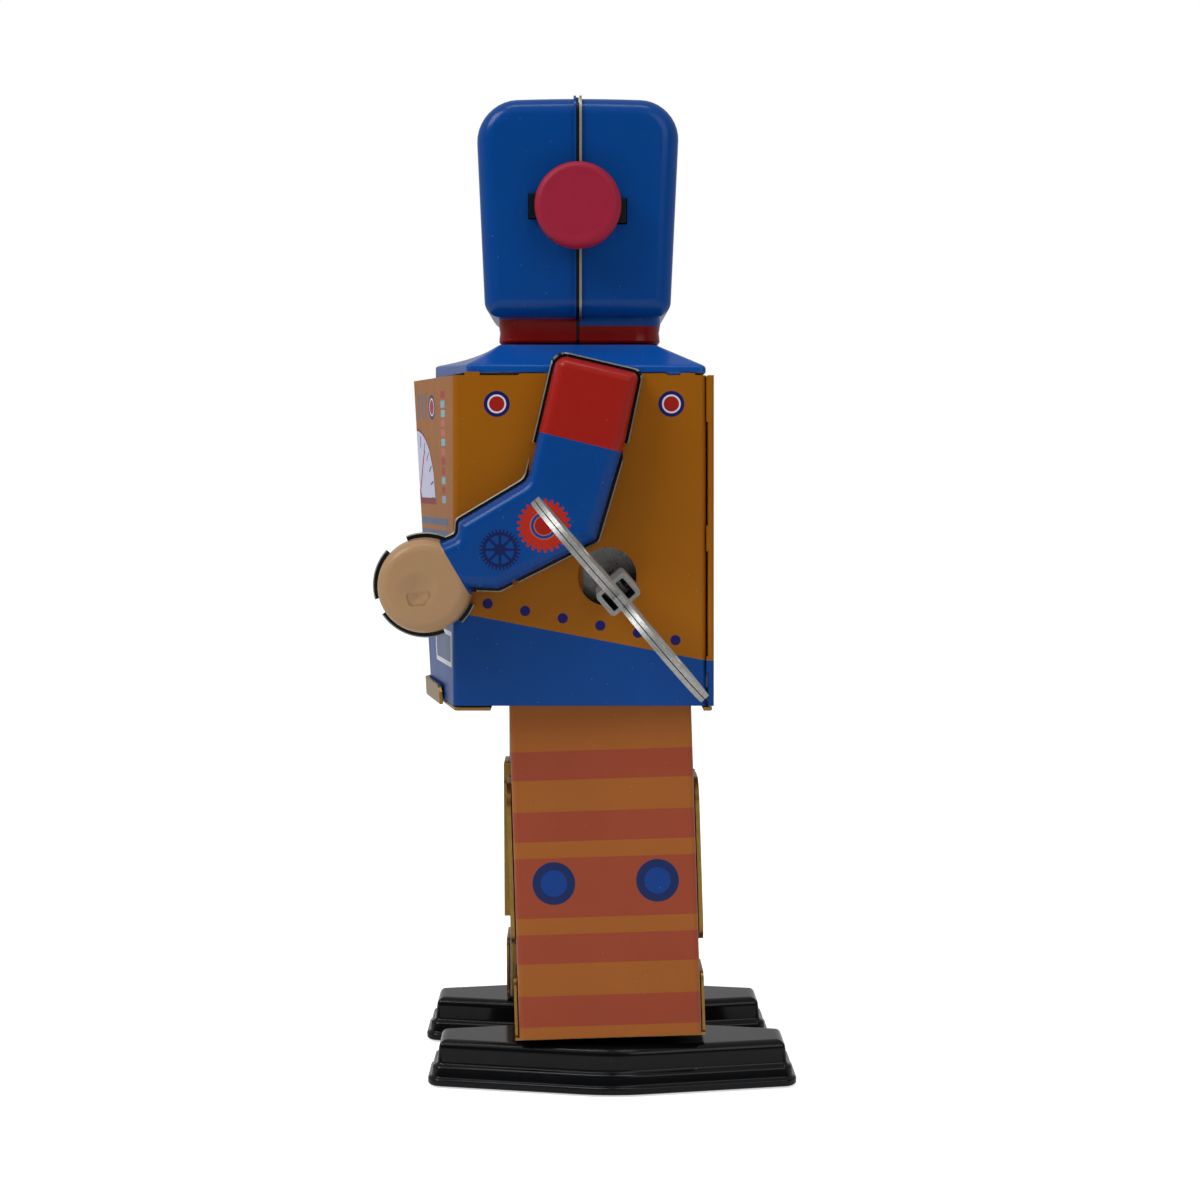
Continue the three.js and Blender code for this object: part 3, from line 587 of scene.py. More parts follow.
def arm_print():
    """Red shoulder, blue sleeve with two gear wheels, and a tan hand."""
    paint = Paint("print_arm", BLUE)
    y, z = paint.y + SHOULDER[0], paint.z + SHOULDER[1]
    paint.lay(RED, inside(side_of(y, z, (-8.0, 129.7), (8.2, 125.7)) * -1))
    hand = inside(side_of(y, z, (-26.8, 108.1), (-21.6, 99.2)))
    paint.lay(TAN, hand)
    face = inside(abs(paint.x) * -1 + 34.0)
    centre = (-6.9, 111.7)
    paint.lay(srgb(168, 40, 26), cog(y, z, centre, 4.5, 5.15, 25) * face)
    for radius, colour in ((2.7, FADED_RED), (2.5, BLUE), (1.95, FADED_RED), (1.75, RED)):
        paint.lay(colour, disc(y, z, *centre, radius) * face)
    print_spoked_wheel(paint, y, z, (-15.3, 107.1), face)
    return lacquered(paint, roughness=0.24)


def print_spoked_wheel(paint, y, z, centre, face):
    """A navy gear wheel with eight spokes and open windows between them."""
    navy = srgb(19, 30, 78)
    paint.lay(navy, cog(y, z, centre, 3.35, 3.95, 32) * face)
    reach = length(y - centre[0], z - centre[1])
    angle = (z - centre[1]).apply("ARCTAN2", y - centre[0])
    spoke = (angle * 4).apply("SINE").apply("ABSOLUTE") * reach * 0.25
    window = inside(spoke * -1 + 0.24) * band(reach, 1.1, 2.75)
    paint.lay(BLUE, window * face)


def leg_print():
    """Orange with five brick stripes all round, and two portholes on the outer face."""
    paint = Paint("print_leg", ORANGE)
    stripes = ((-56.6, -50.9), (-68.7, -62.8), (-83.7, -71.9), (-92.7, -86.9), (-105.1, -99.0))
    for low, high in stripes:
        paint.lay(STRIPE, band(paint.z, low, high))
    face = inside(abs(paint.x) * -1 + LEG_OUTER - 0.6)
    for sign in (-1, 1):
        centre = (LEG_MIDDLE + 10.2 * sign, -76.9)
        paint.lay(srgb(18, 38, 88), disc(paint.y, paint.z, *centre, 4.2) * face)
        paint.lay(srgb(8, 58, 132), disc(paint.y, paint.z, *centre, 2.6) * face)
    return lacquered(paint, roughness=0.3)


def plain_print(name, colour, roughness, gloss=0.14):
    return lacquered(Paint(name, colour), roughness, gloss=gloss)


# ------------------------ head


def head_form(inset):
    """The drawn form of the whole head, shrunk all round by inset."""
    corners = [
        (HEAD_CENTRE_Y + HEAD_DEEP_BOTTOM, HEAD_BOTTOM, 3.2),
        (HEAD_CENTRE_Y + HEAD_DEEP_TOP, HEAD_TOP, 7.5),
        (HEAD_CENTRE_Y - HEAD_DEEP_TOP, HEAD_TOP, 8.0),
        (HEAD_CENTRE_Y - HEAD_DEEP_BOTTOM, HEAD_BOTTOM, 3.2),
    ]
    fillet = 3.6
    levels = roll((HEAD_HALF_WIDTH - fillet, inset), (HEAD_HALF_WIDTH - inset, fillet), 8)
    outlines = [(x, dense(rounded(corners, gap, 10), 3.0)) for x, gap in levels]
    rings = [ring_x(-x, outline) for x, outline in reversed(outlines)]
    rings += [ring_x(x, outline) for x, outline in outlines]
    return loft("head form", [[crowned(point) for point in ring] for ring in rings])


def crowned(point):
    """A point of the head with its sides drawn in towards the neck and its top domed."""
    x, y, z = point
    dome_half_depth, dome_rise = 19, 0.5
    share = (z - HEAD_BOTTOM) / (HEAD_TOP - HEAD_BOTTOM)
    narrow = 1 - (1 - share) * HEAD_TAPER / HEAD_HALF_WIDTH
    dome = max(0.0, 1 - ((y - HEAD_CENTRE_Y) / dome_half_depth) ** 2)
    return (x * narrow, y, z + dome_rise * dome * max(0.0, share * 4 - 3))


def dense(outline, step):
    """The same outline with its long straight edges divided; every ring divides alike."""
    points = []
    for (u0, v0), (u1, v1) in zip(outline, outline[1:] + outline[:1]):
        parts = 12 if math.hypot(u1 - u0, v1 - v0) > 4 * step else 1
        points += [(u0 + (u1 - u0) * i / parts, v0 + (v1 - v0) * i / parts) for i in range(parts)]
    return points


def neck_form(inset, bottom):
    """The neck's form from bottom up into the head, shrunk all round by inset."""
    half_width, half_depth = 18.5, 16.4
    corners = rectangle(0, -0.1, half_width, half_depth, 5.5)
    levels = ((bottom, 0.5), (bottom + 0.5, 0.1), (150, 0.3), (151.8, 0.0), (156, 0.0))
    return loft("neck form", [ring_z(z, rounded(corners, inset + waist, 8)) for z, waist in levels])


def head_shell(sign):
    """Half of the head: in front of the seam (sign -1) or behind it (sign 1)."""
    far, seam_gap, rim = 40.0, 0.32, 0.5

    def slab(near, beyond):
        faces = sorted((HEAD_CENTRE_Y + sign * near, HEAD_CENTRE_Y + sign * beyond))
        return box((-far, faces[0], 140), (far, faces[1], 210))

    shell = combine(head_form(0.0), [neck_form(0.0, 147.7)], "UNION")
    shell = combine(shell, [slab(seam_gap, far)], "INTERSECT")
    flange = combine(head_form(-0.65), [slab(seam_gap, seam_gap + rim)], "INTERSECT")
    shell = combine(shell, [flange], "UNION")
    combine(shell, [head_form(SHEET), neck_form(SHEET, 140.0)])
    if sign < 0:
        combine(shell, [seam_shade_tongue()], "UNION")
    slot_z = EAR_Z + (0.4 if sign < 0 else -0.6)
    slot = box((-far, HEAD_CENTRE_Y - 9.8, slot_z - 2.6), (far, HEAD_CENTRE_Y + 9.8, slot_z + 2.6))
    combine(shell, [slot])
    # Painted shade: the front half's faces at and past the seam line, the seam strip among them,
    # get slot 2, the black plastic, in place of the shade in the seam's gap.
    if sign < 0:
        mark(shell, lambda centre, normal: centre.y > HEAD_CENTRE_Y - seam_gap + 0.01, slot=2)
    else:
        mark(shell, lambda centre, normal: centre.y < HEAD_CENTRE_Y + seam_gap + rim * 0.6)
    return soften(shell, bevel=0.08)


def seam_shade_tongue():
    """The strip of the front half that fills the seam, and that the rear half slides over; it is
    dressed in black plastic as painted shade for the seam's gap.
    """
    layers = []
    for inset, reach in ((-0.3, 0.2), (0.62, 1.6)):
        layer = combine(head_form(inset), [neck_form(max(inset, 0.15), 147.9)], "UNION")
        slab = box((-40, HEAD_CENTRE_Y - 0.6, 140), (40, HEAD_CENTRE_Y + reach, 210))
        layers.append(combine(layer, [slab], "INTERSECT"))
    tongue = combine(layers[0], [layers[1]], "UNION")
    return combine(tongue, [head_form(1.1), neck_form(1.1, 140.0)])


def ear_knob(side):
    """A moulded disc with a rounded rim and a barely domed face."""
    levels = [(25.5, 0.8), (25.8, 0.3), (26.3, 0.0)] + roll((28.3, 0.0), (29.9, 1.5), 7)
    levels += [(29.75, 2.1), (29.72, 3.0), (29.75, 5.5), (29.75, 8.2)]
    rings = [ring_x(x, circle(8.5 - inset, 96, EAR_Y, EAR_Z)) for x, inset in levels]
    knob = loft("ear", rings)
    return soften(knob if side > 0 else mirrored(knob), bevel=0.02, limit=60)


def ear_bar():
    """The flat bar that joins the ears, seen as a dark tab at each end of its slot."""
    front = box((-23.9, HEAD_CENTRE_Y - 9.6, EAR_Z - 2.0), (23.9, HEAD_CENTRE_Y, EAR_Z + 2.8))
    rear = box((-23.9, HEAD_CENTRE_Y - 0.5, EAR_Z - 3.0), (23.9, HEAD_CENTRE_Y + 9.6, EAR_Z + 1.8))
    stem = box((-25.6, EAR_Y - 3, EAR_Z - 2), (25.6, EAR_Y + 3, EAR_Z + 1.8))
    return soften(combine(front, [rear, stem], "UNION"), bevel=0.15)


def make_head(paint, edge, black, crimson):
    # The front half's third material, black plastic, is painted shade along the seam.
    dress(head_shell(-1), "head_front_shell", paint, edge, black)
    dress(head_shell(1), "head_rear_shell", paint, edge)
    dress(ear_bar(), "ear_bar", black)
    for name, side in SIDE.items():
        dress(ear_knob(side), f"ear_knob_{name}", crimson)


# ------------------------ torso


def ridged_plan(half_width, front, back, ridge, inset=0.0, bend=1.2):
    corners = [
        (half_width, front, bend),
        (half_width, back, bend),
        (-half_width, back, bend),
        (-half_width, front, bend),
        (0.0, ridge, bend),
    ]
    return rounded(corners, inset, 5)


def shoulder_cover():
    """A shallow roof over the body: a short skirt, a soft fold, slopes and a level top."""
    skirt = (29.4, -22.0, TORSO_BACK, -30.2)
    plateau = (20.0, -16.0, 15.0, -17.5)
    levels = [(141.4, 0), (142.2, 0), (142.5, 0.012), (142.75, 0.04)]
    levels += [(143.0 + 3.9 * step / 10, 0.085 + 0.815 * step / 10) for step in range(11)]
    levels += [(147.15, 0.955), (147.32, 1.02), (147.4, 1.1)]

    def ring(z, share, inset):
        plan = [a + (b - a) * share for a, b in zip(skirt, plateau)]
        outline = ridged_plan(*plan, inset=inset)
        rise = 1.3 * (1 - share) if z > levels[0][0] else 0.0
        return [(x, y, z - inset + rise * max(0.0, (-y - 19) / 11)) for x, y in outline]

    inner = [ring(z, share, SHEET) for z, share in reversed(levels)]
    outer = [ring(z, share, 0.0) for z, share in levels]
    cover = loft("shoulders", inner + outer, inner=len(inner))
    tabs = [
        box((29.0 * side - 0.35, y, 140.9), (29.0 * side + 0.35, y + 4.5, 142.0))
        for side in (-1, 1)
        for y in (-7.0, 17.0)
    ]
    return soften(combine(cover, tabs, "UNION"), bevel=0.1)


def body_section(z):
    """The folded sheet of the body cut across at height z, open behind the back cover."""
    share = (z - BOTTOM) / (TOP - BOTTOM)
    ridge = RIDGE_BOTTOM + (RIDGE_TOP - RIDGE_BOTTOM) * share
    wide, back, flange = HALF_WIDTH, TORSO_BACK, HALF_WIDTH - 4
    thin, near = wide - SHEET, back - SHEET
    corners = [(-flange, back, 0.1), (-wide, back, 1.2), (-wide, FRONT, 1.4), (0, ridge, 1.2)]
    corners += [(wide, FRONT, 1.4), (wide, back, 1.2), (flange, back, 0.1)]
    corners += [(flange, near, 0.1), (thin, near, 0.7), (thin, FRONT + 0.4, 0.9)]
    corners += [(0, ridge + 0.53, 0.7), (-thin, FRONT + 0.4, 0.9), (-thin, near, 0.7)]
    corners += [(-flange, near, 0.1)]
    return ring_z(z, rounded(corners, 0.0, 5))


# Start, width and rise of each raised lip along the top of a side.
BODY_LIPS = ((-22.5, 3.0, 0.7), (-12.0, 9.0, 0.35), (9.0, 8.0, 0.35), (19.5, 3.0, 0.4))


def body_shell():
    """One sheet folded round the front and both sides, with its holes and raised top lips."""
    levels = [BOTTOM + (TOP - BOTTOM) * step / 12 for step in range(13)]
    shell = loft("body", [body_section(z) for z in levels])
    lips = []
    for side in (-1, 1):
        faces = sorted((29.55 * side, 29.98 * side))
        for y, width, rise in BODY_LIPS:
            corners = rectangle(y + width / 2, TOP - 1 + rise / 2, width / 2, 1 + rise / 2, 0.4)
            outline = rounded(corners, 0, 4)
            lips.append(loft("lip", [ring_x(x, outline) for x in faces]))
    combine(shell, lips, "UNION")
    y, z, radius = KEYHOLE
    keyhole = loft("keyhole", [ring_x(x, circle(radius, 96, y, z)) for x in (25, 35)])
    pins = loft("pins", [ring_x(x, circle(1.9, 32, *SHOULDER)) for x in (-35, 35)])
    combine(shell, [keyhole, pins])
    mark(shell, lambda centre, normal: abs(normal.z) > 0.7)
    mark(shell, body_inside)
    return soften(shell, bevel=0.11)


def body_inside(centre, normal):
    """True on the faces that look into the body."""
    outward = Vector((centre.x, centre.y, 0)).dot(Vector((normal.x, normal.y, 0)))
    return outward < -1.0 and abs(normal.z) < 0.7


def back_cover():
    """The flat back with a rolled hem down each side, and tabs that meet the body's flanges."""
    near = TORSO_BACK + 0.3
    plan = rectangle(0, near + 0.25, HALF_WIDTH - 0.3, 0.25, 0.12)
    panel = loft("back", [ring_z(z, rounded(plan, 0, 3)) for z in (BOTTOM, TOP)])
    hems = []
    for side in (-1, 1):
        hem = circle(0.6, 24, side * (HALF_WIDTH - 0.3), near + 0.6)
        hems.append(loft("hem", [ring_z(z, hem) for z in (BOTTOM, TOP)]))
        for low, high in ((82.8, 86.0), (106.5, 111.5), (131.7, 140.6)):
            edges = sorted(((HALF_WIDTH - 1.5) * side, (HALF_WIDTH + 0.1) * side))
            hems.append(box((edges[0], TORSO_BACK + 0.03, low), (edges[1], near + 0.4, high)))
    combine(panel, hems, "UNION")
    mark(panel, lambda centre, normal: abs(normal.z) > 0.7)
    return soften(panel, bevel=0.08)


def bottom_plate():
    """The gold base plate with its leg cut-outs and the lips folded up front and rear."""
    low, top, lip_top = 75.4, 76.1, 79.2
    back, thick = 26.1, 0.7
    base_plan = ridged_plan(HALF_WIDTH, FRONT, back, RIDGE_BOTTOM, 0.3)
    plate = loft("base", [ring_z(low, base_plan), ring_z(top, base_plan)])
    lips = [box((-10, back - thick, low), (10, back, 79.1))]
    for side in (-1, 1):
        lips.append(front_lip(side, low, lip_top, thick))
    combine(plate, lips, "UNION")
    notch_front, notch_back = -17.4, 24.1
    for side in (-1, 1):
        edges = sorted((7.2 * side, 31.0 * side))
        leg_notch = box((edges[0], notch_front, low - 1), (edges[1], notch_back, top + 1))
        combine(plate, [leg_notch])
    return soften(plate, bevel=0.14)


def front_lip(side, low, top, thick):
    """One half of the front lip: a strip that stands up along a chest facet."""
    lean = (RIDGE_TOP - RIDGE_BOTTOM) / (TOP - BOTTOM) * (top - low)
    slope = (RIDGE_BOTTOM - FRONT) / HALF_WIDTH

    def ring(z, shift, reach):
        ridge = RIDGE_BOTTOM + shift - 0.3
        inner = [(0, ridge), (reach * side, ridge - slope * reach)]
        outer = [(u, v - thick) for u, v in reversed(inner)]
        return ring_z(z, inner + outer)

    levels = [(low, 0.0, 18.5), (top - 1.4, lean * 0.6, 18.5)]
    levels += [(top - 0.5, lean * 0.87, 17.8), (top, lean, 16.5)]
    return loft("lip", [ring(*level) for level in levels])


def make_torso(paint, blue, edge, gold):
    dress(body_shell(), "body_shell", paint, edge)
    dress(back_cover(), "back_cover", paint, edge)
    dress(shoulder_cover(), "shoulder_cover", blue, edge)
    dress(bottom_plate(), "bottom_plate", gold)


# ------------------------ arms
# An arm is drawn in the robot's left-side pose, about its shoulder pin.

ARM_CORNERS = [
    (12.2, 141.5, 2.0), (-4.9, 145.5, 3.0), (-10.7, 120.7, 3.0), (-24.1, 112.7, 1.6),
    (-24.3, 110.0, 1.0), (-29.0, 108.0, 0.5), (-29.0, 99.4, 0.5), (-15.6, 98.8, 2.0),
    (3.6, 108.5, 1.2), (9.4, 128.2, 8.0),
]
ARM_OUTLINE = [(y - SHOULDER[0], z - SHOULDER[1], radius) for y, z, radius in ARM_CORNERS]
HAND_AT = (HAND[0] - SHOULDER[0], HAND[1] - SHOULDER[1])


def arm_form(levels, hand_rim=0.0):
    """The limb and the round hand through (x, inset) levels, joined. The hand is wider by a rim."""
    radius = HAND[2] + hand_rim
    limb = loft("limb", [ring_x(x, rounded(ARM_OUTLINE, inset, 6)) for x, inset in levels])
    fist = loft("fist", [ring_x(x, circle(radius - inset, 96, *HAND_AT)) for x, inset in levels])
    return combine(limb, [fist], "UNION")


def dimple(top, radius, depth, at, wobble):
    """A tool that presses a shallow uneven dish into the face at x = top."""
    steps, turns = 12, [2 * math.pi * i / 48 for i in range(48)]
    rings = []
    for step in range(1, steps + 1):
        share = step / steps
        ease = share * share * (3 - 2 * share)
        points = []
        for turn in turns:
            uneven = 1 + wobble * math.sin(2 * turn + 1) + wobble * 0.6 * math.sin(5 * turn)
            reach = radius * share * uneven
            points.append((at[0] + reach * math.cos(turn), at[1] + reach * math.sin(turn)))
        rings.append(ring_x(top + 0.01 - depth * (1 - ease), points))
    lid = [(at[0] + (u - at[0]) * 1.05, at[1] + (v - at[1]) * 1.05) for u, v in points]
    rings.append(ring_x(top + 0.5, lid))
    return loft("dimple", rings)


def arm_shell():
    """The pressed half of the arm: upright walls rolled over into a flat face."""
    base, top = ARM_BASE, ARM_BASE + 5.9
    outer = [(base, 0.55), (base + 0.25, 0.6)] + roll((base + 3.6, 0.85), (top, 3.2), 8)
    inner = [(base - 1, 1.15)] + roll((base + 3.4, 1.4), (top - SHEET, 3.5), 4)
    shell = arm_form(outer)
    hollow = arm_form(inner)
    dish = (HAND_AT[0] - 1.2, HAND_AT[1] - 0.7)
    crease = (HAND_AT[0] - 1.0, HAND_AT[1] - 2.0)
    backing = box((top - 1.6, dish[0] - 5, dish[1] - 5), (top + 1, dish[0] + 5, dish[1] + 5))
    combine(hollow, [backing])
    combine(shell, [hollow, dimple(top, 4.3, 0.8, dish, 0.06)])
    combine(shell, [dimple(top - 0.6, 2.0, 0.45, crease, 0.12)])
    mark(shell, lambda centre, normal: centre.x < base + 0.01 and normal.x < -0.7)
    return soften(shell, bevel=0.08, limit=32)


def sector(low, high, start, end):
    """A slice of a ring about the hand, between two radii and two angles in degrees."""
    turns = [math.radians(start + (end - start) * i / 12) for i in range(13)]
    arc = [(low, turn) for turn in turns] + [(high, turn) for turn in reversed(turns)]
    y, z = HAND_AT
    points = [(y + r * math.cos(t), z + r * math.sin(t)) for r, t in reversed(arc)]
    return loft("sector", [ring_x(x, points) for x in (28, 33)])


def arm_plate():
    """The flat black back of the arm, whose rim shows all round except at its notches."""
    plate = arm_form([(30.6, -0.25), (30.8, -0.25), (31.1, 0.0)], hand_rim=0.2)
    gaps = [sector(9.1, 12, *angles) for angles in ((112, 138), (196, 214), (292, 314), (338, 352))]
    gaps.append(notch((-9.3, 124.2), 7.0, 1.3))
    gaps.append(notch((8.9, 125.2), 4.6, 1.2))
    gaps.append(notch((-12.5, 98.3), 5.0, 1.1))
    combine(plate, gaps)
    mark(plate, lambda centre, normal: abs(normal.x) < 0.8)
    return soften(plate, bevel=0.04)


def notch(at, tall, wide):
    """A block that takes a bite out of the plate's edge around a point."""
    y, z = at[0] - SHOULDER[0], at[1] - SHOULDER[1]
    return box((28, y - wide / 2, z - tall / 2), (33, y + wide / 2, z + tall / 2))


def make_arms(paint, black, edge):
    pivot = Matrix.Translation(Vector((0, *SHOULDER)) * MM)
    for name, side in SIDE.items():
        turn = Matrix.Rotation(RIGHT_ARM_TURN if side < 0 else 0.0, 4, "X")
        shell, plate = arm_shell(), arm_plate()
        if side < 0:
            mirrored(shell)
            mirrored(plate)
        dress(shell, f"arm_{name}_shell", paint, edge, place=pivot @ turn)
        dress(plate, f"arm_{name}_plate", black, edge, place=pivot @ turn)


# ------------------------ legs
# A leg is drawn hanging straight down from its hip pin at y = 0, z = 0.


def leg_shell():
    """A folded channel whose outer face runs up to the hip pin as a strap."""
    near, far = LEG_MIDDLE - LEG_HALF, LEG_MIDDLE + LEG_HALF
    edge = LEG_INNER - 0.28  # just short of the cover, so no light shows between them
    corners = [(edge, near, 0.1), (LEG_OUTER, near, 1.1), (LEG_OUTER, far, 1.1)]
    corners += [(edge, far, 0.1), (edge, far - SHEET, 0.1)]
    corners += [(LEG_OUTER - SHEET, far - SHEET, 0.6), (LEG_OUTER - SHEET, near + SHEET, 0.6)]
    corners += [(edge, near + SHEET, 0.1)]
    section = rounded(corners, 0.0, 6)
    shell = loft("leg", [ring_z(z, section) for z in (LEG_BOTTOM, LEG_TOP)])
    strap = box((LEG_OUTER - SHEET, -4, LEG_TOP - 2), (LEG_OUTER, 3, 4))
    combine(shell, [strap], "UNION")
    combine(shell, [loft("pin", [ring_x(x, circle(1.5, 32)) for x in (24, 28)])])
    mark(shell, lambda centre, normal: abs(normal.z) > 0.7)
    mark(shell, lambda centre, normal: centre.x < LEG_OUTER - 0.2 and normal.x < -0.5)
    return soften(shell, bevel=0.1)


def leg_cover():
    """The cover on the inside of the leg, with two lips folded round the channel."""
    outside = LEG_HALF + 1.2
    panel_plan = rectangle(7.15, LEG_MIDDLE, 0.25, LEG_HALF - 0.3, 0.1)
    panel = loft("cover", [ring_z(z, rounded(panel_plan, 0, 3)) for z in (-106, -46)])
    lips = [box((6.9, LEG_MIDDLE - outside, -90.4), (7.4, LEG_MIDDLE + outside, -58))]
    for side in (-1, 1):
        faces = sorted((LEG_MIDDLE + side * (LEG_HALF + 0.35), LEG_MIDDLE + side * outside))
        outline = rounded(rectangle(14.4, -74.2, 7.6, 16.2, 4.5), 0, 10)
        lips.append(loft("lip", [ring_y(y, outline) for y in faces]))
    combine(panel, lips, "UNION")
    return soften(panel, bevel=0.12)


def ankle_bracket():
    """A U-shaped strap under the leg that stands up in front of it and behind it."""
    reach, thick, top = LEG_HALF + 0.3, 0.6, -96.0
    low = LEG_BOTTOM - 0.3 - thick
    near, far = LEG_MIDDLE - reach - thick, LEG_MIDDLE + reach + thick
    strap = box((10, near, low), (23, far, low + thick))
    tabs = []
    for face in (near, far - thick):
        outline = rounded(rectangle(16.5, (low + top) / 2, 6.5, (top - low) / 2, 1.6), 0, 6)
        tabs.append(loft("tab", [ring_y(y, outline) for y in (face, face + thick)]))
    return soften(combine(strap, tabs, "UNION"), bevel=0.12)


def foot_plan(inset):
    """The shoe's outline from above, widest half-way along."""
    end, middle, reach = 6.9, 13.9, 36.65
    corners = [(end, -reach, 3), (middle, 0, 35), (end, reach, 3)]
    corners += [(-end, reach, 3), (-middle, 0, 35), (-end, -reach, 3)]
    return rounded(corners, inset, 8)


def foot_shell():
    """The shoe: a rolled bottom edge, a stepped flange and a raised block with a soft rim."""
    levels = [(0.35, 0.6), (0.4, 0.25), (0.6, 0.05), (0.8, 0.0), (1.5, 0.0), (1.75, 0.1)]
    levels += [(1.95, 0.5), (2.2, 0.72), (3.6, 0.85), (4.0, 1.0), (4.25, 1.5), (4.45, 1.8)]
    levels += [(4.8, 1.9), (7.2, 2.15)] + roll((7.5, 2.2), (8.9, 4.0), 7)
    under = [(8.35, 4.2), (7.4, 2.8), (4.2, 2.5), (3.6, 1.6), (0.35, 1.3)]
    inner = [ring_z(z, foot_plan(inset)) for z, inset in under]
    outer = [ring_z(z, foot_plan(inset)) for z, inset in levels]
    shell = loft("shoe", inner + outer, inner=len(inner) + 1)
    return soften(shell, bevel=0.05, limit=50)


def foot_sole():
    return soften(loft("sole", [ring_z(z, foot_plan(1.55)) for z in (0.0, 0.6)]), bevel=0.1)


def make_legs(paint, edge, gold):
    for name, side in SIDE.items():
        place = Matrix.Translation(Vector((0, *HIP)) * MM) @ Matrix.Rotation(LEAN[name], 4, "X")
        parts = {
            f"leg_{name}_shell": (leg_shell(), (paint, edge)),
            f"leg_{name}_inner_cover": (leg_cover(), (gold,)),
            f"ankle_{name}_bracket": (ankle_bracket(), (gold,)),
        }
        for node, (obj, materials) in parts.items():
            dress(mirrored(obj) if side < 0 else obj, node, *materials, place=place)


def make_feet(lacquer, edge, sole):
    for name, side in SIDE.items():
        place = Matrix.Translation(Vector((side * FOOT_X, FOOT_Y[name], 0)) * MM)
        dress(foot_shell(), f"foot_{name}_shell", lacquer, edge, place=place)
        dress(foot_sole(), f"foot_{name}_sole", sole, place=place)


# ------------------------ key


def bow_layer(low, high):
    """One of the two folded sheets of the key's bow, with its two eyes."""
    bow_x, reach, radius, eye = 66.0, 11.3, 11.9, 4.4

    def plate(outline):
        return loft("bow", [ring_z(low, outline), ring_z(high, outline)])

    bows = [plate(circle(radius, 96, bow_x, sign * reach)) for sign in (-1, 1)]
    neck = plate([(49, -6), (bow_x + 6, -6), (bow_x + 6, 6), (49, 6)])
    layer = combine(bows[0], [bows[1], neck], "UNION")
    eyes = [circle(eye, 64, bow_x, sign * 1.12 * reach) for sign in (-1, 1)]
    return combine(layer, [loft("eye", [ring_z(z, outline) for z in (-3, 3)]) for outline in eyes])


def winding_key():
    """A folded steel key: an open-ended box sleeve and a two-layer bow."""
    outside = rounded(rectangle(0, 0, 2.6, 3.5, 0.8), 0, 5)
    hollow = rounded(rectangle(0, 0, 1.9, 2.6, 0.3), 0, 3)
    sleeve = loft("sleeve", [ring_x(x, outside) for x in (30.5, 53)])
    combine(sleeve, [loft("bore", [ring_x(x, hollow) for x in (29, 54)])])
    layers = [bow_layer(0.07, 0.9), bow_layer(-0.9, -0.07)]
    return soften(combine(sleeve, layers, "UNION"), bevel=0.16)


def make_key(steel):
    place = Matrix.Translation(Vector((0, *WINDING)) * MM) @ Matrix.Rotation(KEY_TURN, 4, "X")
    dress(winding_key(), "winding_key", steel, place=place)


def dress_cad(materials):
    """Gives every CAD node that still shows the metal of its slot, and smooth round faces."""
    for node, obj in frame["nodes"].items():
        if obj.hide_render:
            continue
        obj.data.materials.clear()
        obj.data.materials.append(materials[SLOT_OF[node]])
        obj.data.shade_smooth()
        modifier = obj.modifiers.new("edge roll", "BEVEL")
        modifier.width = 0.08 * MM
        modifier.limit_method = "ANGLE"
        modifier.angle_limit = math.radians(35)
        modifier.harden_normals = True


# ------------------------ camera and lights


CAMERA_AT = (435, 0, 123.3)
CAMERA_LENS = 62.4
CAMERA_SHIFT = (0.0167, -0.1125)
WORLD_LIGHT, DARK_SIDE = 0.5, 0.06
BACKDROP_GLOW = 0.62
LIGHTS_AIM_AT = (0, 0, 110)


def make_camera():
    """Level with the body's middle on the robot's left, far enough for a natural view."""
    camera = bpy.data.cameras.new("camera")
    camera.sensor_width = 36
    camera.lens = CAMERA_LENS
    camera.shift_x, camera.shift_y = CAMERA_SHIFT
    camera.clip_start, camera.clip_end = 0.01, 20
    obj = bpy.data.objects.new("camera", camera)
    bpy.context.scene.collection.objects.link(obj)
    obj.location = ORIGIN + Vector(CAMERA_AT) * MM
    obj.rotation_euler = (math.pi / 2, 0, math.pi / 2)
    bpy.context.scene.camera = obj


def area_light(name, at, size, power):
    """A soft rectangular light of size mm and power W that faces the robot's middle."""
    light = bpy.data.lights.new(name, "AREA")
    light.shape = "RECTANGLE"
    light.size, light.size_y = (value * MM for value in size)
    light.energy = power
    obj = bpy.data.objects.new(name, light)
    bpy.context.scene.collection.objects.link(obj)
    obj.location = ORIGIN + Vector(at) * MM
    aim = (Vector(LIGHTS_AIM_AT) - Vector(at)).to_track_quat("-Z", "Y")
    obj.rotation_euler = aim.to_euler()


def make_floor():
    """A wide pale sheet under the robot."""
    half = 6000
    corners = [(-half, -half, 0), (half, -half, 0), (half, half, 0), (-half, half, 0)]
    floor = mesh_piece("floor", corners, [(0, 1, 2, 3)])
    paint = Paint("paper", srgb(250, 250, 250))
    paint.shade(paint.noise(60, detail=3.0) * 0.02 + 0.99)
    rays = paint.tree.nodes.new("ShaderNodeLightPath")
    glow = Field(paint.tree, rays.outputs["Is Camera Ray"]) * BACKDROP_GLOW
    sockets = {"Emission Color": (1, 1, 1, 1), "Emission Strength": glow}
    floor.data.materials.append(paint.finish(0.8, paint.noise(0.8, detail=2.0) * 0.004, sockets))
    floor.location = ORIGIN


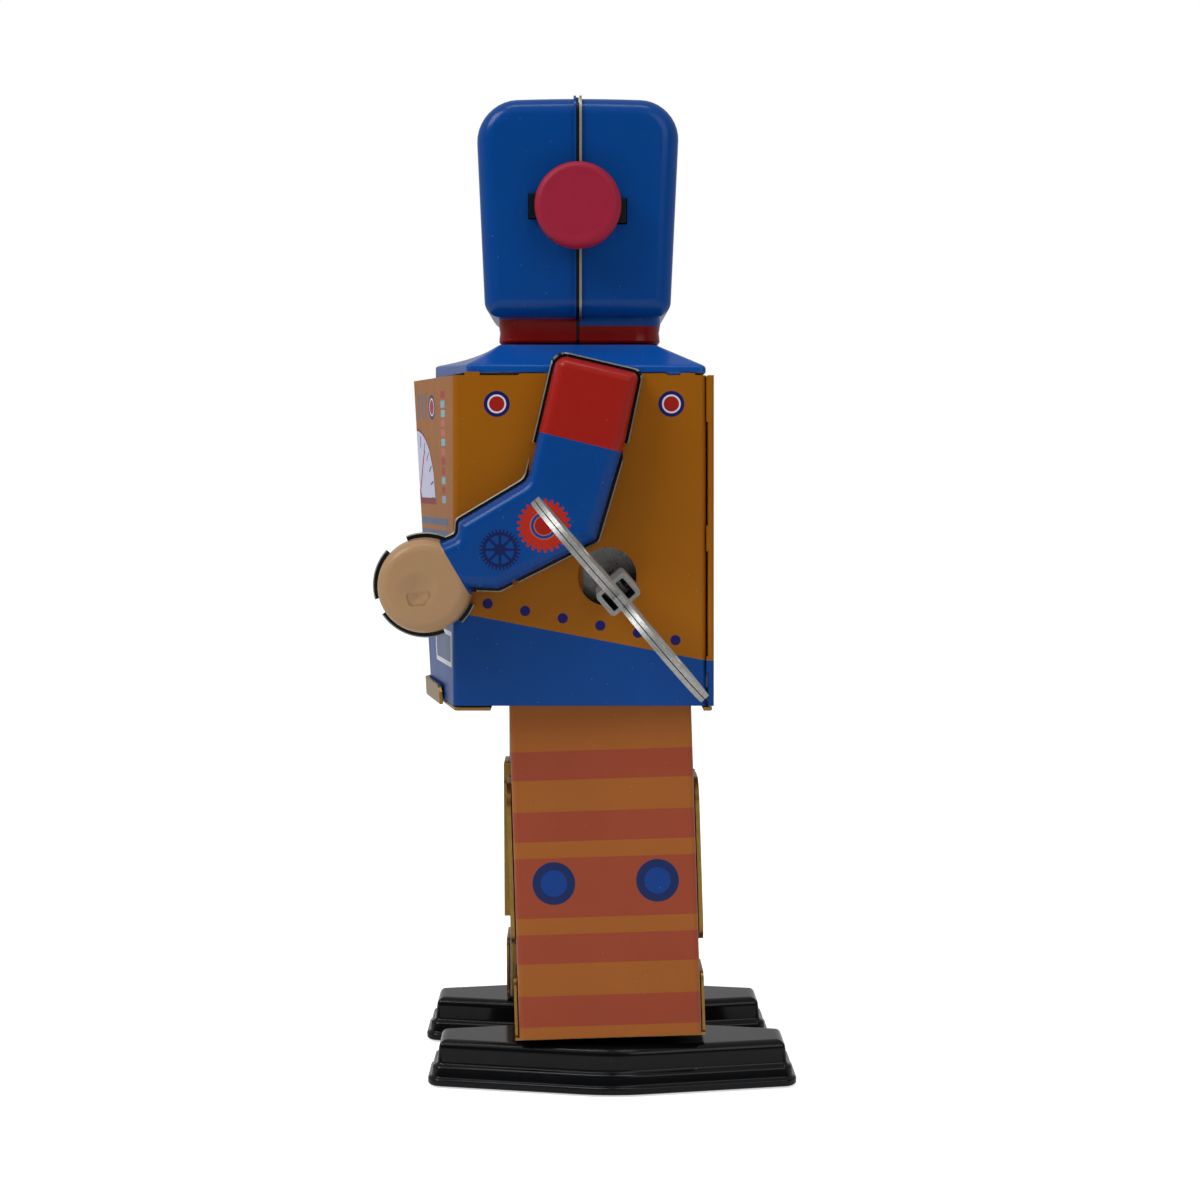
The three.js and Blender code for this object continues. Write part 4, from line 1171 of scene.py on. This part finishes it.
def make_world():
    """A backdrop white to the camera; the studio's light is low on the +x side, against glare."""
    world = bpy.data.worlds.new("studio")
    world.use_nodes = True
    tree = world.node_tree
    tree.nodes.clear()
    direction = tree.nodes.new("ShaderNodeTexCoord")
    split = tree.nodes.new("ShaderNodeSeparateXYZ")
    tree.links.new(direction.outputs["Generated"], split.inputs[0])
    towards = Field(tree, split.outputs[0])
    upward = Field(tree, split.outputs[2])
    dark = ((towards - 0.15) * 3).apply("MULTIPLY", 1.0, clamp=True)
    high = ((upward - 0.45) * 4).apply("MULTIPLY", 1.0, clamp=True)
    rays = tree.nodes.new("ShaderNodeLightPath")
    backdrop = Field(tree, rays.outputs["Is Camera Ray"])
    background = tree.nodes.new("ShaderNodeBackground")
    background.inputs["Color"].default_value = (1, 1, 1, 1)
    light = ~(dark * ~high * (1 - DARK_SIDE / WORLD_LIGHT)) * WORLD_LIGHT
    feed(tree, backdrop + ~backdrop * light, background.inputs["Strength"])
    output = tree.nodes.new("ShaderNodeOutputWorld")
    tree.links.new(background.outputs[0], output.inputs[0])
    bpy.context.scene.world = world


def make_studio():
    make_camera()
    make_floor()
    make_world()
    area_light("key", at=(430, -600, 780), size=(420, 420), power=4.9)
    area_light("fill", at=(700, 420, 480), size=(500, 500), power=1.5)
    area_light("top", at=(200, -40, 820), size=(420, 90), power=1.1)
    bpy.context.scene.view_settings.view_transform = "Standard"


# ------------------------ assembly


def build():
    edge = metal("tin_edge", srgb(152, 149, 140), 0.5)
    gold = metal("gold_lacquer", srgb(150, 118, 62), 0.34)
    steel = metal("galvanised", srgb(165, 165, 162), 0.5, grain=0.012, spots=0.7)
    black = plain_print("black_lacquer", BLACK, 0.14, gloss=0.18)
    dark_plastic = plastic("black_plastic", BLACK, 0.4)
    crimson = plastic("crimson_plastic", srgb(144, 18, 48), 0.5)
    slots = {
        "tinplate": metal("tinplate", srgb(150, 149, 146), 0.24),
        "galvanised_steel": steel,
        "spring_steel": metal("spring_steel", srgb(95, 104, 115), 0.3),
        "brass": metal("brass", srgb(190, 155, 80), 0.28),
        "gold_lacquer": gold,
        "black_plastic": dark_plastic,
        "black_lacquer": black,
    }
    make_head(head_print(), edge, dark_plastic, crimson)
    make_torso(body_print(), plain_print("print_blue", srgb(10, 72, 150), 0.22), edge, gold)
    make_arms(arm_print(), black, edge)
    make_legs(leg_print(), edge, gold)
    make_feet(black, edge, dark_plastic)
    make_key(steel)
    dress_cad(slots)


build()
make_studio()
